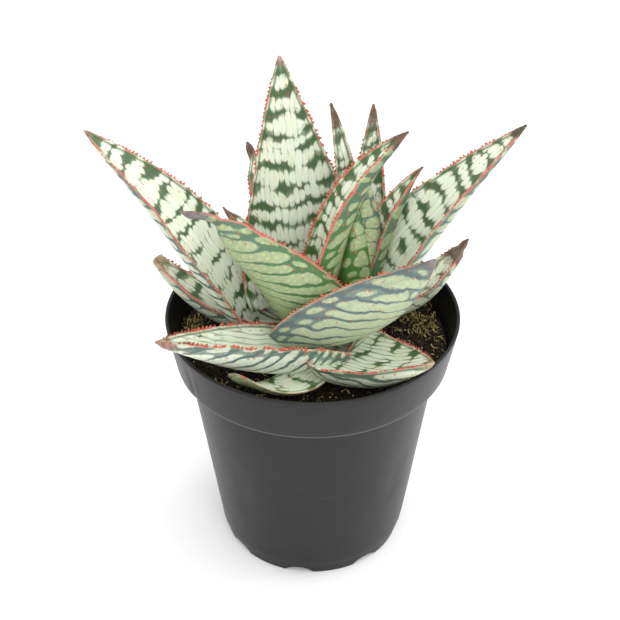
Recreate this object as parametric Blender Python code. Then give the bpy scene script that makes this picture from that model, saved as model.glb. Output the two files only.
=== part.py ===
"""A potted aloe: a black nursery pot, its soil, the short stem and the toothed leaves.

The origin is on the pot's axis, on the surface that the pot stands on. Front is -Y.
"""

from dataclasses import dataclass
from math import cos, pi, radians, sin

import bmesh
import bpy
import numpy as np
from mathutils import Matrix, Vector
from mathutils.bvhtree import BVHTree

MM = 0.001

# Pot, in millimetres: a thin moulded wall that tapers, with a band round the rim
RIM_RADIUS = 60.0
POT_HEIGHT = 110.5
BAND_HEIGHT = 20.3
BAND_BOTTOM_RADIUS = 56.0
NECK_RADIUS = 51.6
BASE_RADIUS = 39.7
FOOT_HEIGHT = 6.2
FOOT_RADIUS = 37.8
FOOT_INSET = 0.7
WALL = 1.5
FLOOR_HEIGHT = 3.6
FLOOR_THICKNESS = 1.4
CENTRE_PAD_RADIUS = 13.0
POT_SIDES = 56
FOOT_ARCHES = 8
ARCH_WIDTH = 12.5
ARCH_HEIGHT = 3.0
ARCH_DEPTH = 9.0
ARCH_SIDES = 36
FIRST_ARCH = -98.6
DRAIN_HOLES = 8
DRAIN_RADIUS = 3.2
DRAIN_CIRCLE = 25.0
DRAIN_DEPTH = 12.0
DRAIN_SIDES = 12
SLOPE = 2.0
BEVEL = 0.6

# Soil: fills the pot up to below its rim, with a plain hole for the stem
SOIL_LEVEL = 95.8
SOIL_FLOOR = 6.0
SOIL_GAP = 0.4
SOIL_RINGS = 9
SOIL_SIDES = 40
SOIL_BUMPS = 46
SOIL_BUMP_REACH = 52.0
SOIL_BUMP_INNER = 0.35
SOIL_BUMP_SIZE = (3.5, 8.0)
SOIL_BUMP_RISE = (-1.6, 1.0)
SOIL_SEED = 7

# Stem: a plug in the soil, flared where the oldest leaves leave it, leaning to the right
STEM_FOOT = (6.0, 0.0, 62.0)
STEM_LEAN = (0.16, 0.05)
STEM_SIDES = 14
STEM_PROFILE = (
    (0.0, 4.0), (30.0, 6.5), (36.5, 7.0), (38.5, 11.0), (43.0, 9.5), (50.0, 6.5), (57.0, 3.5), (62.0, 2.0),
)
STEM_NECK = 2

# Leaves: a tooth every few millimetres along both edges
TOOTH_PITCH = 4.0
TOOTH_HEIGHT = 1.3
TOOTH_LEAN = 0.45
TOOTH_SHRINK_WIDTH = 5.0
EDGE_THICKNESS = 0.8
TIP_THICKNESS = 1.5
FOOT_FLESH = 0.7
FULL_FLESH = 0.2
FLESH_POWER = 2.2
TIP_HALF_WIDTH = 0.3
ACROSS = (-1.0, -0.55, 0.0, 0.55, 1.0)
LEAF_GAP = 0.4
BLANK_PITCH = 5.0
BLANK_TURN = 0.6
BLANK_THIN = 0.8
MERGES = (0.02, 0.008, 0.003, 0.001, 0.0002)
SPINE_STEPS = 20


@dataclass
class Leaf:
    """One leaf. Places are in millimetres and angles in degrees, 0 pointing right and -90 to the front.

    It leaves its foot along launch, given as azimuth, rise and reach, and bends over to its tip. wrap is
    the arc of its channel at the foot and at the tip, and roll lifts its edge that is anticlockwise of
    the way it faces. It keeps neck of its width at the foot and all of it at shoulder, and is worn off
    where worn is under 1.
    """

    name: str
    foot: tuple
    launch: tuple
    tip: tuple
    width: float
    facing: float
    thick: float = 6.0
    wrap: tuple = (90.0, 60.0)
    roll: tuple = (0.0, 0.0)
    neck: float = 0.6
    shoulder: float = 0.22
    taper: float = 1.7
    worn: float = 1.0


# A leaf gives way to those above it in this list, so the ones that stand in front come first
LEAVES = (
    Leaf("leaf_small_front", foot=(4, -20, 103), launch=(-105, -4, 29), tip=(-33, -37, 107),
         width=15, facing=-110, thick=4.5),
    Leaf("leaf_low_front_left", foot=(12, -18, 101), launch=(-163, 17, 46), tip=(-60, -38, 123),
         width=46, facing=-140, wrap=(120, 110), roll=(10, 6), neck=0.45, shoulder=0.6, thick=7.5),
    Leaf("leaf_low_front_right", foot=(6, -17, 101.6), launch=(-35, 15, 31), tip=(46, -43, 117),
         width=47, facing=-35, thick=8, wrap=(90, 80), roll=(-10, -10), taper=2.0),
    Leaf("leaf_front_right", foot=(0, -12, 107), launch=(-50, 32, 34), tip=(46, -32, 157),
         width=46, facing=-65, wrap=(90, 90), roll=(5, -50), neck=0.9),
    Leaf("leaf_front_left", foot=(1, -9, 107), launch=(-140, 66, 49), tip=(-50, -16, 168),
         width=49, facing=-140, wrap=(110, 90), roll=(25, 45), taper=1.0),
    Leaf("leaf_left_large", foot=(-22, 2, 99), launch=(180, 66, 57), tip=(-85, -4, 196),
         width=40, facing=180, wrap=(70, 50), roll=(-20, -28), neck=0.6, taper=1.8, shoulder=0.6),
    Leaf("leaf_left_low", foot=(-12, 4, 103), launch=(180, 3, 36), tip=(-68, 18, 132),
         width=26, facing=175, wrap=(110, 90), worn=0.9),
    Leaf("leaf_right_large", foot=(13, 1, 105), launch=(0, 61, 60), tip=(80, 0, 196),
         width=44, facing=0, wrap=(70, 50), roll=(25, 25), neck=0.95, taper=1.3, thick=7),
    Leaf("leaf_right_low", foot=(19, 8, 103), launch=(22, 13, 36), tip=(65, 30, 126),
         width=26, facing=25, wrap=(110, 120)),
    Leaf("heart_front", foot=(16.5, -5.5, 112), launch=(20, 88, 25), tip=(17, 0, 162),
         width=16, facing=-60, wrap=(110, 90), neck=0.5),
    Leaf("heart_centre", foot=(2, -3, 112), launch=(0, 86, 60), tip=(36, 0, 193),
         width=25, facing=12, wrap=(140, 110), neck=0.8),
    Leaf("heart_right", foot=(19, 1, 114), launch=(31, 82, 42), tip=(43, 12, 171),
         width=15, facing=25, wrap=(100, 80), neck=0.5),
    Leaf("heart_right_low", foot=(21, 1, 113), launch=(0, 88, 30), tip=(20, 5, 171),
         width=24, facing=-60, wrap=(100, 80), neck=0.5),
    Leaf("heart_back", foot=(15, 8, 120), launch=(60, 82, 40), tip=(7, 25, 192),
         width=14, facing=85, neck=0.5),
    Leaf("heart_back_right", foot=(20, 6, 118), launch=(60, 80, 40), tip=(24, 32, 188),
         width=20, facing=72, neck=0.5),
    Leaf("leaf_back_tall", foot=(-2, 12, 108), launch=(110, 66, 45), tip=(-13, 38, 206),
         width=57, facing=100, wrap=(70, 50), neck=0.9, taper=1.5),
    Leaf("leaf_left_inner", foot=(-2, 4, 112), launch=(175, 48, 30), tip=(-35, 5, 157),
         width=14, facing=180),
    Leaf("leaf_back_left", foot=(-2, 13, 104), launch=(120, 45, 40), tip=(-27, 50, 161),
         width=34, facing=120, wrap=(80, 60)),
    Leaf("leaf_back_right", foot=(12, 12, 106), launch=(65, 42, 36), tip=(26, 50, 148),
         width=32, facing=65, wrap=(80, 60)),
    Leaf("leaf_low_back", foot=(4, 15, 101), launch=(100, 10, 36), tip=(-8, 56, 124),
         width=32, facing=100, wrap=(80, 60)),
    Leaf("leaf_low_back_left", foot=(-6, 10, 101), launch=(140, 10, 32), tip=(-38, 38, 122),
         width=30, facing=140, wrap=(80, 60)),
    Leaf("leaf_low_back_right", foot=(16, 12, 101), launch=(50, 10, 32), tip=(40, 46, 128),
         width=32, facing=50, wrap=(80, 60)),
)


def polar(radius, degrees, height):
    angle = radians(degrees)
    return Vector((radius * cos(angle), radius * sin(angle), height))


def material(name, colour, roughness, metallic=0.0):
    made = bpy.data.materials.new(name)
    made.use_nodes = True
    shader = made.node_tree.nodes["Principled BSDF"]
    shader.inputs["Base Color"].default_value = (*colour, 1)
    shader.inputs["Roughness"].default_value = roughness
    shader.inputs["Metallic"].default_value = metallic
    return made


def solid(name, points, faces, finish=None):
    """A named object from points in millimetres, with its faces turned outwards."""
    mesh = bpy.data.meshes.new(name)
    mesh.from_pydata([Vector(p) * MM for p in points], [], faces)
    shaped = bmesh.new()
    shaped.from_mesh(mesh)
    bmesh.ops.remove_doubles(shaped, verts=shaped.verts, dist=1e-7)
    bmesh.ops.recalc_face_normals(shaped, faces=shaped.faces)
    shaped.to_mesh(mesh)
    shaped.free()
    if finish:
        mesh.materials.append(finish)
    made = bpy.data.objects.new(name, mesh)
    bpy.context.scene.collection.objects.link(made)
    return made


def turned(name, profile, sides, finish):
    """A solid of revolution about Z from a profile of (radius, height) that starts and ends on the axis."""
    points = [polar(r, 360 * k / sides, z) for k in range(sides) for r, z in profile]
    count = len(profile)
    faces = []
    for k in range(sides):
        here, after = k * count, (k + 1) % sides * count
        for i in range(count - 1):
            faces.append((here + i, after + i, after + i + 1, here + i + 1))
    return solid(name, points, faces, finish)


def closed(mesh):
    shape = bmesh.new()
    shape.from_mesh(mesh)
    whole = len(shape.faces) > 0 and all(edge.is_manifold for edge in shape.edges)
    shape.free()
    return whole


def difference(target, cutter, solver):
    """The mesh that is left of the target once the cutter's shape is taken out."""
    taken = target.modifiers.new("cut", "BOOLEAN")
    taken.operation = "DIFFERENCE"
    taken.solver = solver
    taken.object = cutter
    bpy.context.view_layer.update()
    graph = bpy.context.evaluated_depsgraph_get()
    left = bpy.data.meshes.new_from_object(target.evaluated_get(graph))
    target.modifiers.clear()
    return left


def cut(target, cutter):
    """Takes the cutter's shape out of the target."""
    left = difference(target, cutter, "EXACT")
    if not closed(left):
        left = difference(target, cutter, "MANIFOLD")
    target.data = left


def wall_radius(height):
    """Outer radius of the tapered wall below the band."""
    share = (height - FOOT_HEIGHT) / (POT_HEIGHT - BAND_HEIGHT - FOOT_HEIGHT)
    return BASE_RADIUS + (NECK_RADIUS - BASE_RADIUS) * share


def band_radius(height):
    """Outer radius of the band round the rim."""
    share = (POT_HEIGHT - height) / BAND_HEIGHT
    return RIM_RADIUS + (BAND_BOTTOM_RADIUS - RIM_RADIUS) * share


def pot_profile():
    """The wall's outline, from the middle of the base out, up the outside, down the inside and back."""
    ledge = POT_HEIGHT - BAND_HEIGHT
    under = FLOOR_HEIGHT - FLOOR_THICKNESS
    outside = [
        (0.0, 0.0),
        (CENTRE_PAD_RADIUS, 0.0),
        (CENTRE_PAD_RADIUS + SLOPE, under),
        (FOOT_RADIUS - WALL - BEVEL, under),
        (FOOT_RADIUS - WALL, 0.0),
        (FOOT_RADIUS, 0.0),
        (BASE_RADIUS - FOOT_INSET, FOOT_HEIGHT),
        (BASE_RADIUS, FOOT_HEIGHT + BEVEL / 2),
        (wall_radius(ledge - BEVEL), ledge - BEVEL),
        (NECK_RADIUS + BEVEL, ledge),
        (BAND_BOTTOM_RADIUS - BEVEL, ledge),
        (BAND_BOTTOM_RADIUS, ledge + BEVEL),
        (RIM_RADIUS, POT_HEIGHT - BEVEL),
        (RIM_RADIUS - BEVEL, POT_HEIGHT),
    ]
    inside = [
        (RIM_RADIUS - WALL, POT_HEIGHT),
        (band_radius(ledge + WALL) - WALL, ledge + WALL),
        (NECK_RADIUS - WALL, ledge),
        (wall_radius(FOOT_HEIGHT + SLOPE) - WALL, FOOT_HEIGHT + SLOPE),
        (FOOT_RADIUS - WALL - BEVEL, FLOOR_HEIGHT),
        (CENTRE_PAD_RADIUS + SLOPE, FLOOR_HEIGHT),
        (CENTRE_PAD_RADIUS, WALL),
        (0.0, WALL),
    ]
    return outside + inside


def cylinder(name, radius, depth, sides, place):
    """A plain cylinder used as a cutter. place is a matrix in millimetres."""
    shape = bmesh.new()
    bmesh.ops.create_cone(shape, cap_ends=True, segments=sides, radius1=radius, radius2=radius, depth=depth)
    bmesh.ops.transform(shape, matrix=Matrix.Scale(MM, 4) @ place, verts=shape.verts)
    mesh = bpy.data.meshes.new(name)
    shape.to_mesh(mesh)
    shape.free()
    made = bpy.data.objects.new(name, mesh)
    made.hide_render = True
    made.display_type = "WIRE"
    bpy.context.scene.collection.objects.link(made)
    return made


def make_pot(finish):
    """The pot, with the arches cut in its foot and the drain holes between them in its floor."""
    pot = turned("pot", pot_profile(), POT_SIDES, finish)
    arch_radius = (ARCH_HEIGHT ** 2 + (ARCH_WIDTH / 2) ** 2) / (2 * ARCH_HEIGHT)
    cutters = []
    for k in range(FOOT_ARCHES):
        turn = Matrix.Rotation(radians(FIRST_ARCH + 360 * k / FOOT_ARCHES), 4, "Z")
        place = Matrix.Translation((FOOT_RADIUS, 0, ARCH_HEIGHT - arch_radius))
        lie = Matrix.Rotation(pi / 2, 4, "Y")
        cutters.append(cylinder("arch_cutter", arch_radius, ARCH_DEPTH, ARCH_SIDES, turn @ place @ lie))
    for k in range(DRAIN_HOLES):
        turn = Matrix.Rotation(radians(FIRST_ARCH + 360 * (k + 0.5) / DRAIN_HOLES), 4, "Z")
        place = Matrix.Translation((DRAIN_CIRCLE, 0, FLOOR_HEIGHT))
        cutters.append(cylinder("drain_cutter", DRAIN_RADIUS, DRAIN_DEPTH, DRAIN_SIDES, turn @ place))
    for cutter in cutters:
        cut(pot, cutter)
        bpy.data.objects.remove(cutter)
    return pot


def stem_centre(height):
    """The middle of the leaning stem, this far up from its foot."""
    x, y, z = STEM_FOOT
    above_soil = max(height - STEM_PROFILE[STEM_NECK][0], 0)
    return Vector((x + STEM_LEAN[0] * above_soil, y + STEM_LEAN[1] * above_soil, z + height))


def make_stem(finish):
    points = []
    for height, radius in STEM_PROFILE:
        centre = stem_centre(height)
        for k in range(STEM_SIDES):
            points.append(centre + polar(radius, 360 * k / STEM_SIDES, 0))
    faces = [tuple(range(STEM_SIDES)), tuple(range(len(points) - STEM_SIDES, len(points)))]
    for ring in range(len(STEM_PROFILE) - 1):
        for k in range(STEM_SIDES):
            a, b = ring * STEM_SIDES + k, ring * STEM_SIDES + (k + 1) % STEM_SIDES
            faces.append((a, b, b + STEM_SIDES, a + STEM_SIDES))
    return solid("stem", points, faces, finish)


def soil_height(x, y, bumps):
    """Height of the soil's uneven top: its level and low rounded clods and dips."""
    height = SOIL_LEVEL
    for bx, by, size, rise in bumps:
        height += rise * np.exp(-((x - bx) ** 2 + (y - by) ** 2) / size ** 2)
    return height


def make_soil(finish):
    """The soil as rings of points: up its tapered side, in over its uneven top, and down the stem's hole."""
    random = np.random.default_rng(SOIL_SEED)
    bumps = []
    for _ in range(SOIL_BUMPS):
        radius = SOIL_BUMP_REACH * np.sqrt(random.uniform(SOIL_BUMP_INNER ** 2, 1))
        angle = random.uniform(0, 2 * pi)
        rise = random.uniform(*SOIL_BUMP_RISE)
        bumps.append((radius * cos(angle), radius * sin(angle), random.uniform(*SOIL_BUMP_SIZE), rise))
    ledge = POT_HEIGHT - BAND_HEIGHT
    side = [
        (FOOT_RADIUS - WALL, SOIL_FLOOR),
        (NECK_RADIUS - WALL - SOIL_GAP, ledge),
        (band_radius(ledge + WALL) - WALL - SOIL_GAP, ledge + WALL + SOIL_GAP),
    ]
    hole_radius = STEM_PROFILE[STEM_NECK][1] + SOIL_GAP
    hole_floor = STEM_FOOT[2] - SOIL_GAP
    edge = band_radius(SOIL_LEVEL) - WALL - SOIL_GAP
    points, faces = [], []
    for radius, height in side:
        points += [polar(radius, 360 * k / SOIL_SIDES, height) for k in range(SOIL_SIDES)]
    for ring in range(SOIL_RINGS + 1):
        for k in range(SOIL_SIDES):
            outer = polar(edge, 360 * k / SOIL_SIDES, 0)
            inner = polar(hole_radius, 360 * k / SOIL_SIDES, 0) + Vector(STEM_FOOT).to_2d().to_3d()
            at = outer.lerp(inner, ring / SOIL_RINGS)
            level = SOIL_LEVEL if ring == SOIL_RINGS else soil_height(at.x, at.y, bumps)
            points.append((at.x, at.y, level))
    points += [(x, y, hole_floor) for x, y, _ in points[-SOIL_SIDES:]]
    rings = len(points) // SOIL_SIDES
    for ring in range(rings - 1):
        for k in range(SOIL_SIDES):
            a, b = ring * SOIL_SIDES + k, ring * SOIL_SIDES + (k + 1) % SOIL_SIDES
            faces += [(a, b, b + SOIL_SIDES), (a, b + SOIL_SIDES, a + SOIL_SIDES)]
    faces += [tuple(range(SOIL_SIDES)), tuple(range(len(points) - SOIL_SIDES, len(points)))]
    return solid("soil", points, faces, finish)


def spine(leaf, t):
    """Place and direction on the leaf's middle line, from t = 0 at the stem to 1 at the tip."""
    foot, tip = Vector(leaf.foot), Vector(leaf.tip)
    azimuth, rise, reach = leaf.launch
    bend = foot + polar(cos(radians(rise)), azimuth, sin(radians(rise))) * reach
    place = foot * (1 - t) ** 2 + bend * (2 * t * (1 - t)) + tip * t ** 2
    along = (bend - foot) * (1 - t) + (tip - bend) * t
    return place, along.normalized()


def length_of(leaf):
    places = [spine(leaf, k / SPINE_STEPS)[0] for k in range(SPINE_STEPS + 1)]
    return sum((b - a).length for a, b in zip(places, places[1:]))


def half_width(leaf, t):
    """Half of the leaf's width: a neck at the stem, a shoulder, then a long taper to the point."""
    t = min(max(t, 0), 1)
    swell = leaf.neck + (1 - leaf.neck) * sin(pi / 2 * min(t / leaf.shoulder, 1))
    return leaf.width / 2 * swell * (1 - t ** leaf.taper)


def thickness(leaf, t, u):
    """Thickness at u across the leaf, from -1 to 1: fleshy in the middle and thin at both edges."""
    t = min(max(t, 0), 1)
    swell = FOOT_FLESH + (1 - FOOT_FLESH) * min(t / FULL_FLESH, 1)
    middle = TIP_THICKNESS + (leaf.thick - TIP_THICKNESS) * swell * (1 - t ** FLESH_POWER)
    return EDGE_THICKNESS + (middle - EDGE_THICKNESS) * (1 - abs(u) ** FLESH_POWER)


def cross_section(leaf, t, grow=0.0):
    """Upper and lower rows of points across the leaf at t, its outward edge directions, and the way along.

    grow moves every point out by that much, and past the reach of the teeth at both edges.
    """
    place, along = spine(leaf, t)
    side = polar(1, leaf.facing + 90, 0)
    side = (side - along * side.dot(along)).normalized()
    turn = Matrix.Rotation(radians(leaf.roll[0] * (1 - t) + leaf.roll[1] * t), 3, along)
    side = turn @ side
    up = along.cross(side)
    bend = radians(leaf.wrap[0] * (1 - t) + leaf.wrap[1] * t) / 2
    radius = max(half_width(leaf, t), TIP_HALF_WIDTH) / bend
    if grow:
        bend += min((grow + TOOTH_HEIGHT) / radius, BLANK_TURN)
    upper, lower, edges = [], [], []
    for u in ACROSS:
        angle = u * bend
        out = side * sin(angle) - up * cos(angle)
        at = place + up * radius + out * radius
        upper.append(at - out * min(grow, radius * BLANK_THIN))
        lower.append(at + out * (thickness(leaf, t, u) + grow))
        edges.append(side * cos(angle) + up * sin(angle))
    return upper, lower, (-edges[0], edges[-1]), along


def leaf_shell(leaf, places, grow):
    """Points and faces of the leaf's two sides, with its stem end closed and its tip drawn to a point."""
    count = len(ACROSS)
    ring = 2 * count
    points, faces = [], []
    for t in places:
        upper, lower, _, _ = cross_section(leaf, t, grow)
        points += upper + lower
    for i in range(len(places) - 1):
        here = i * ring
        for j in range(count - 1):
            for row in (here + j, here + count + j):
                faces += [(row, row + 1, row + 1 + ring), (row, row + 1 + ring, row + ring)]
    for j in range(count - 1):
        faces += [(j, j + 1, j + 1 + count), (j, j + 1 + count, j + count)]
    last = (len(places) - 1) * ring
    rim = [last + j for j in range(count)] + [last + count + j for j in reversed(range(count))]
    apex = len(points)
    place, along = spine(leaf, leaf.worn)
    points.append(place + along * grow * 2)
    faces += [(rim[k], rim[(k + 1) % ring], apex) for k in range(ring)]
    return points, faces


def make_leaf(leaf, finish):
    """A leaf with one pointed tooth in each step along both of its edges."""
    count = len(ACROSS)
    ring = 2 * count
    stations = max(round(length_of(leaf) / TOOTH_PITCH), 8)
    points, faces = leaf_shell(leaf, [leaf.worn * i / stations for i in range(stations)], 0.0)
    for i in range(stations - 1):
        here = i * ring
        middle = leaf.worn * (i + 0.5) / stations
        upper, lower, outward, along = cross_section(leaf, middle)
        height = TOOTH_HEIGHT * min(1, half_width(leaf, middle) / TOOTH_SHRINK_WIDTH)
        for end, sideways in ((0, outward[0]), (count - 1, outward[1])):
            a, b = here + end, here + ring + end
            apex = len(points)
            points.append((upper[end] + lower[end]) / 2 + (sideways + along * TOOTH_LEAN) * height)
            corners = (a, b, b + count, a + count)
            faces += [(corners[k], corners[(k + 1) % 4], apex) for k in range(4)]
    return solid(leaf.name, points, faces, finish)


def make_blank(leaf):
    """The leaf grown by the gap and without teeth, which clears room for it in its neighbours."""
    count = len(ACROSS)
    ring = 2 * count
    stations = max(round(length_of(leaf) / BLANK_PITCH), 5)
    margin = LEAF_GAP / length_of(leaf)
    places = [-margin] + [leaf.worn * i / stations for i in range(1, stations)]
    points, faces = leaf_shell(leaf, places, LEAF_GAP)
    for i in range(len(places) - 1):
        for end in (0, count - 1):
            a, b = i * ring + end, (i + 1) * ring + end
            faces += [(a, b, b + count), (a, b + count, a + count)]
    blank = solid(leaf.name + "_blank", points, faces)
    blank.hide_render = True
    blank.display_type = "WIRE"
    return blank


def tree_of(obj):
    shape = bmesh.new()
    shape.from_mesh(obj.data)
    tree = BVHTree.FromBMesh(shape)
    shape.free()
    return tree


def largest_body(mesh, merge):
    """A copy of the mesh with points closer than merge millimetres joined and its loose scraps dropped."""
    shape = bmesh.new()
    shape.from_mesh(mesh)
    bmesh.ops.remove_doubles(shape, verts=shape.verts, dist=merge * MM)
    bmesh.ops.dissolve_degenerate(shape, edges=shape.edges, dist=merge * MM)
    seen, groups = set(), []
    for start in shape.verts:
        if start in seen:
            continue
        group, front = [], [start]
        seen.add(start)
        while front:
            vert = front.pop()
            group.append(vert)
            for edge in vert.link_edges:
                other = edge.other_vert(vert)
                if other not in seen:
                    seen.add(other)
                    front.append(other)
        groups.append(group)
    groups.sort(key=len)
    for group in groups[:-1]:
        bmesh.ops.delete(shape, geom=group, context="VERTS")
    bmesh.ops.triangulate(shape, faces=shape.faces)
    body = mesh.copy()
    shape.to_mesh(body)
    shape.free()
    return body


def tidy_cut(obj):
    """Takes the widest merge distance that leaves the cut piece one closed body."""
    for merge in MERGES:
        body = largest_body(obj.data, merge)
        if closed(body):
            obj.data = body
            return
    raise ValueError(obj.name + " isn't closed after its cuts")


def make_room(pieces, blanks):
    """Cuts each piece clear of every blank before it in the list that it meets."""
    for place, piece in enumerate(pieces):
        trimmed = False
        for blank in blanks[:place]:
            if tree_of(piece).overlap(tree_of(blank)):
                cut(piece, blank)
                trimmed = True
        if trimmed:
            tidy_cut(piece)


def main():
    for old in list(bpy.data.objects):
        bpy.data.objects.remove(old)
    make_pot(material("pot_plastic", (0.045, 0.045, 0.045), 0.42))
    make_soil(material("soil", (0.03, 0.02, 0.012), 0.95))
    stem = make_stem(material("stem", (0.25, 0.32, 0.16), 0.6))
    leaf_finish = material("aloe_leaf", (0.42, 0.5, 0.34), 0.45)
    leaves = [make_leaf(leaf, leaf_finish) for leaf in LEAVES]
    blanks = [make_blank(leaf) for leaf in LEAVES]
    make_room(leaves + [stem], blanks)
    for blank in blanks:
        bpy.data.objects.remove(blank)


main()
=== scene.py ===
"""The looks of a potted aloe: its pot, soil, stem and spotted leaves, and the studio that it stands in.

The script is laid out as an add-on. Run as a script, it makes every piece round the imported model.
Lengths in the tables are in millimetres unless their comment says metres, and -Y is the front.
"""

from dataclasses import dataclass
from math import ceil, cos, pi, radians, sin, sqrt

import bmesh
import bpy
import numpy as np
from bpy.props import FloatProperty, FloatVectorProperty, IntProperty, PointerProperty
from mathutils import Matrix, Vector, noise


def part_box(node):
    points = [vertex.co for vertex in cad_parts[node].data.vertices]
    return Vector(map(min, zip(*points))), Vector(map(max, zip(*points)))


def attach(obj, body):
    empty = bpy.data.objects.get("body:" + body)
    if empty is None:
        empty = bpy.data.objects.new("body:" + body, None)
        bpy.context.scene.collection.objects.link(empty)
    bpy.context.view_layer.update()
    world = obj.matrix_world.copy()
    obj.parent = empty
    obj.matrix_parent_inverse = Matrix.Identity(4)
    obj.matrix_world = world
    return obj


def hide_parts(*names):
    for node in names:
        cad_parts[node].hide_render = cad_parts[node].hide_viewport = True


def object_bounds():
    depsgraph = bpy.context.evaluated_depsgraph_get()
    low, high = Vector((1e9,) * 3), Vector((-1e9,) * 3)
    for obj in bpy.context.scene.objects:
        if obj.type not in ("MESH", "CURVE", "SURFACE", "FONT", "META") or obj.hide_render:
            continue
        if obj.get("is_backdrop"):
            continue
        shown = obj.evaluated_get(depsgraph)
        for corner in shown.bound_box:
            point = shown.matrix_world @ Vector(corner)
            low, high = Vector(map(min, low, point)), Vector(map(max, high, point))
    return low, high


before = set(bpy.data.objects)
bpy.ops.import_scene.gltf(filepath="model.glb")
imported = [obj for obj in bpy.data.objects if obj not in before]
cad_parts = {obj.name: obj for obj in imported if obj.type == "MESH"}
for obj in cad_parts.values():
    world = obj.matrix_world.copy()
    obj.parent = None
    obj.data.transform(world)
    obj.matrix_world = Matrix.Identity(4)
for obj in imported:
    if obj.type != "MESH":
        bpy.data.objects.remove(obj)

bl_info = {
    "name": "Potted aloe",
    "version": (1, 0, 0),
    "blender": (4, 5, 0),
    "location": "3D View > Sidebar > Aloe",
    "description": "Makes a potted aloe with spotted, toothed leaves",
    "category": "Object",
}

CAD_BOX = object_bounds()
MM = 0.001

# Pot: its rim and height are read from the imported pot, and the rest are the sizes of its solid
RIM_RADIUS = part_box("pot")[1].x / MM
POT_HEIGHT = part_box("pot")[1].z / MM
BAND_HEIGHT = 20.3
BAND_BOTTOM_RADIUS = 56.0
NECK_RADIUS = 51.6
BASE_RADIUS = 39.7
FOOT_HEIGHT = 6.2
FOOT_RADIUS = 37.8
FOOT_INSET = 0.7
WALL = 1.5
FLOOR_HEIGHT = 3.6
FLOOR_THICKNESS = 1.4
CENTRE_PAD_RADIUS = 13.0
SLOPE = 2.0
BEVEL = 0.6
FOOT_ARCHES = 8
ARCH_WIDTH = 12.5
ARCH_HEIGHT = 3.0
ARCH_DEPTH = 9.0
FIRST_ARCH = -98.6
DRAIN_RADIUS = 3.2
DRAIN_CIRCLE = 25.0
DRAIN_DEPTH = 12.0

# How finely the pot is drawn, and how far its wall strays from round
ARCH_SIDES = 96
DRAIN_SIDES = 32
CURVE_STEPS = 4
RUN_LENGTH = 4.0
SHARP_ANGLE = radians(38)
WALL_WAVER = 0.25

# Folds and dents in the pot's wall: azimuth, width in degrees, depth, and between which heights
DENTS = (
    (-145.5, 1.6, 0.55, 88, 108), (-143.0, 1.4, -0.35, 90, 106),
    (-130.0, 6.0, 0.25, 30, 60), (-42.0, 7.0, 0.3, 34, 62),
)

# Soil, with the same clods and dips as its solid, and finer breaks given as how far apart and how high
SOIL_LEVEL = 95.8
SOIL_FLOOR = 6.0
SOIL_GAP = 0.4
SOIL_BUMPS = 46
SOIL_BUMP_REACH = 52.0
SOIL_BUMP_INNER = 0.35
SOIL_BUMP_SIZE = (3.5, 8.0)
SOIL_BUMP_RISE = (-1.6, 1.0)
SOIL_SEED = 7
SOIL_BREAKS = ((7.0, 0.9), (2.6, 0.55), (1.2, 0.3))
BARE_BY_STEM = 6.0
BARE_BY_WALL = 1.0
MM2_IN_M2 = 1e6
LITTER_LIFT = 0.8

# Moss on the soil: x, y, size of the patch and how thick it lies
MOSS_PATCHES = (
    (47, 10, 9, 1.0), (52, -4, 6, 0.7), (42, 24, 7, 0.6), (-50, 6, 6, 1.0), (-46, 14, 5, 0.5),
    (-38, -30, 7, 0.35), (10, -48, 9, 0.18), (-20, -46, 8, 0.3), (0, 46, 16, 0.4),
)

# Stem
STEM_FOOT = (6.0, 0.0, 62.0)
STEM_LEAN = (0.16, 0.05)
STEM_PROFILE = (
    (0.0, 4.0), (30.0, 6.5), (36.5, 7.0), (38.5, 11.0), (43.0, 9.5), (50.0, 6.5), (57.0, 3.5), (62.0, 2.0),
)
STEM_NECK = 2
STEM_SIDES = 36
STEM_STEPS = 60
SCAR_DEPTH = 0.25

# Leaves: flesh, edges, tips, how finely they are drawn, and how far apart their draws of markings are
EDGE_THICKNESS = 0.8
TIP_THICKNESS = 1.5
FOOT_FLESH = 0.7
FULL_FLESH = 0.2
FLESH_POWER = 2.2
TIP_HALF_WIDTH = 0.3
SPINE_STEPS = 40
STATION_PITCH = 0.9
COLUMNS = 24
RIM_POINTS = 3
CAP_RINGS = 3
TIP_FLESH = 1.1
LEAST_FLESH = 0.15
FINGER_END = 4
FINGER_SPREAD = 0.7
FLESH_RIPPLE = 0.5
EDGE_RIPPLE = 0.9
STILL_TIP = 20
RIM_BULGE = 1.2
LIP_START = 0.6
LIP_FULL_HALF = 12
YOUNG_REACH = 18
SEED_STEP = 13.7

# Markings: how far apart lobes, bars, dots, flecks and spots stand, and how far they and the bands stray.
# KEEL_ROUNDING eases the bars where they bend, and OTHER_HALF draws those of a leaf's two halves apart
LOBE_WIDTH = 2.7
LOBE_WAVER = 1.6
BAND_DRIFT = 12
BAND_BOW = 0.012
BAND_JAG = 2.6
GLOW_LENGTH = 5.5
BAR_PITCH = 6.0
BAR_LEAN = 1.15
BAR_WAVER = 8
KEEL_ROUNDING = 14.0
OTHER_HALF = 7.0
DOT_GAP = 3.3
FLECK_PITCH = 2.3
SPOT_WIDTH = 2.6
SPOT_LENGTH = 4.2

# Teeth: how many of their places they take, and their form as shares of the sizes in the settings.
# Beads, the raised spots: half of the smallest and of the largest length, width and height
TOOTH_SHARE = 0.8
TOOTH_CONE = {"Vertices": 7, "Side Segments": 2, "Radius Top": 0.12, "Radius Bottom": 0.55, "Depth": 1.15}
TOOTH_ROOT = (0.0, 0.0, -0.25)
BEAD_SIZES = ((0.3, 0.18, 0.12), (0.85, 0.32, 0.26))
CM2_IN_M2 = 1e4

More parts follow.
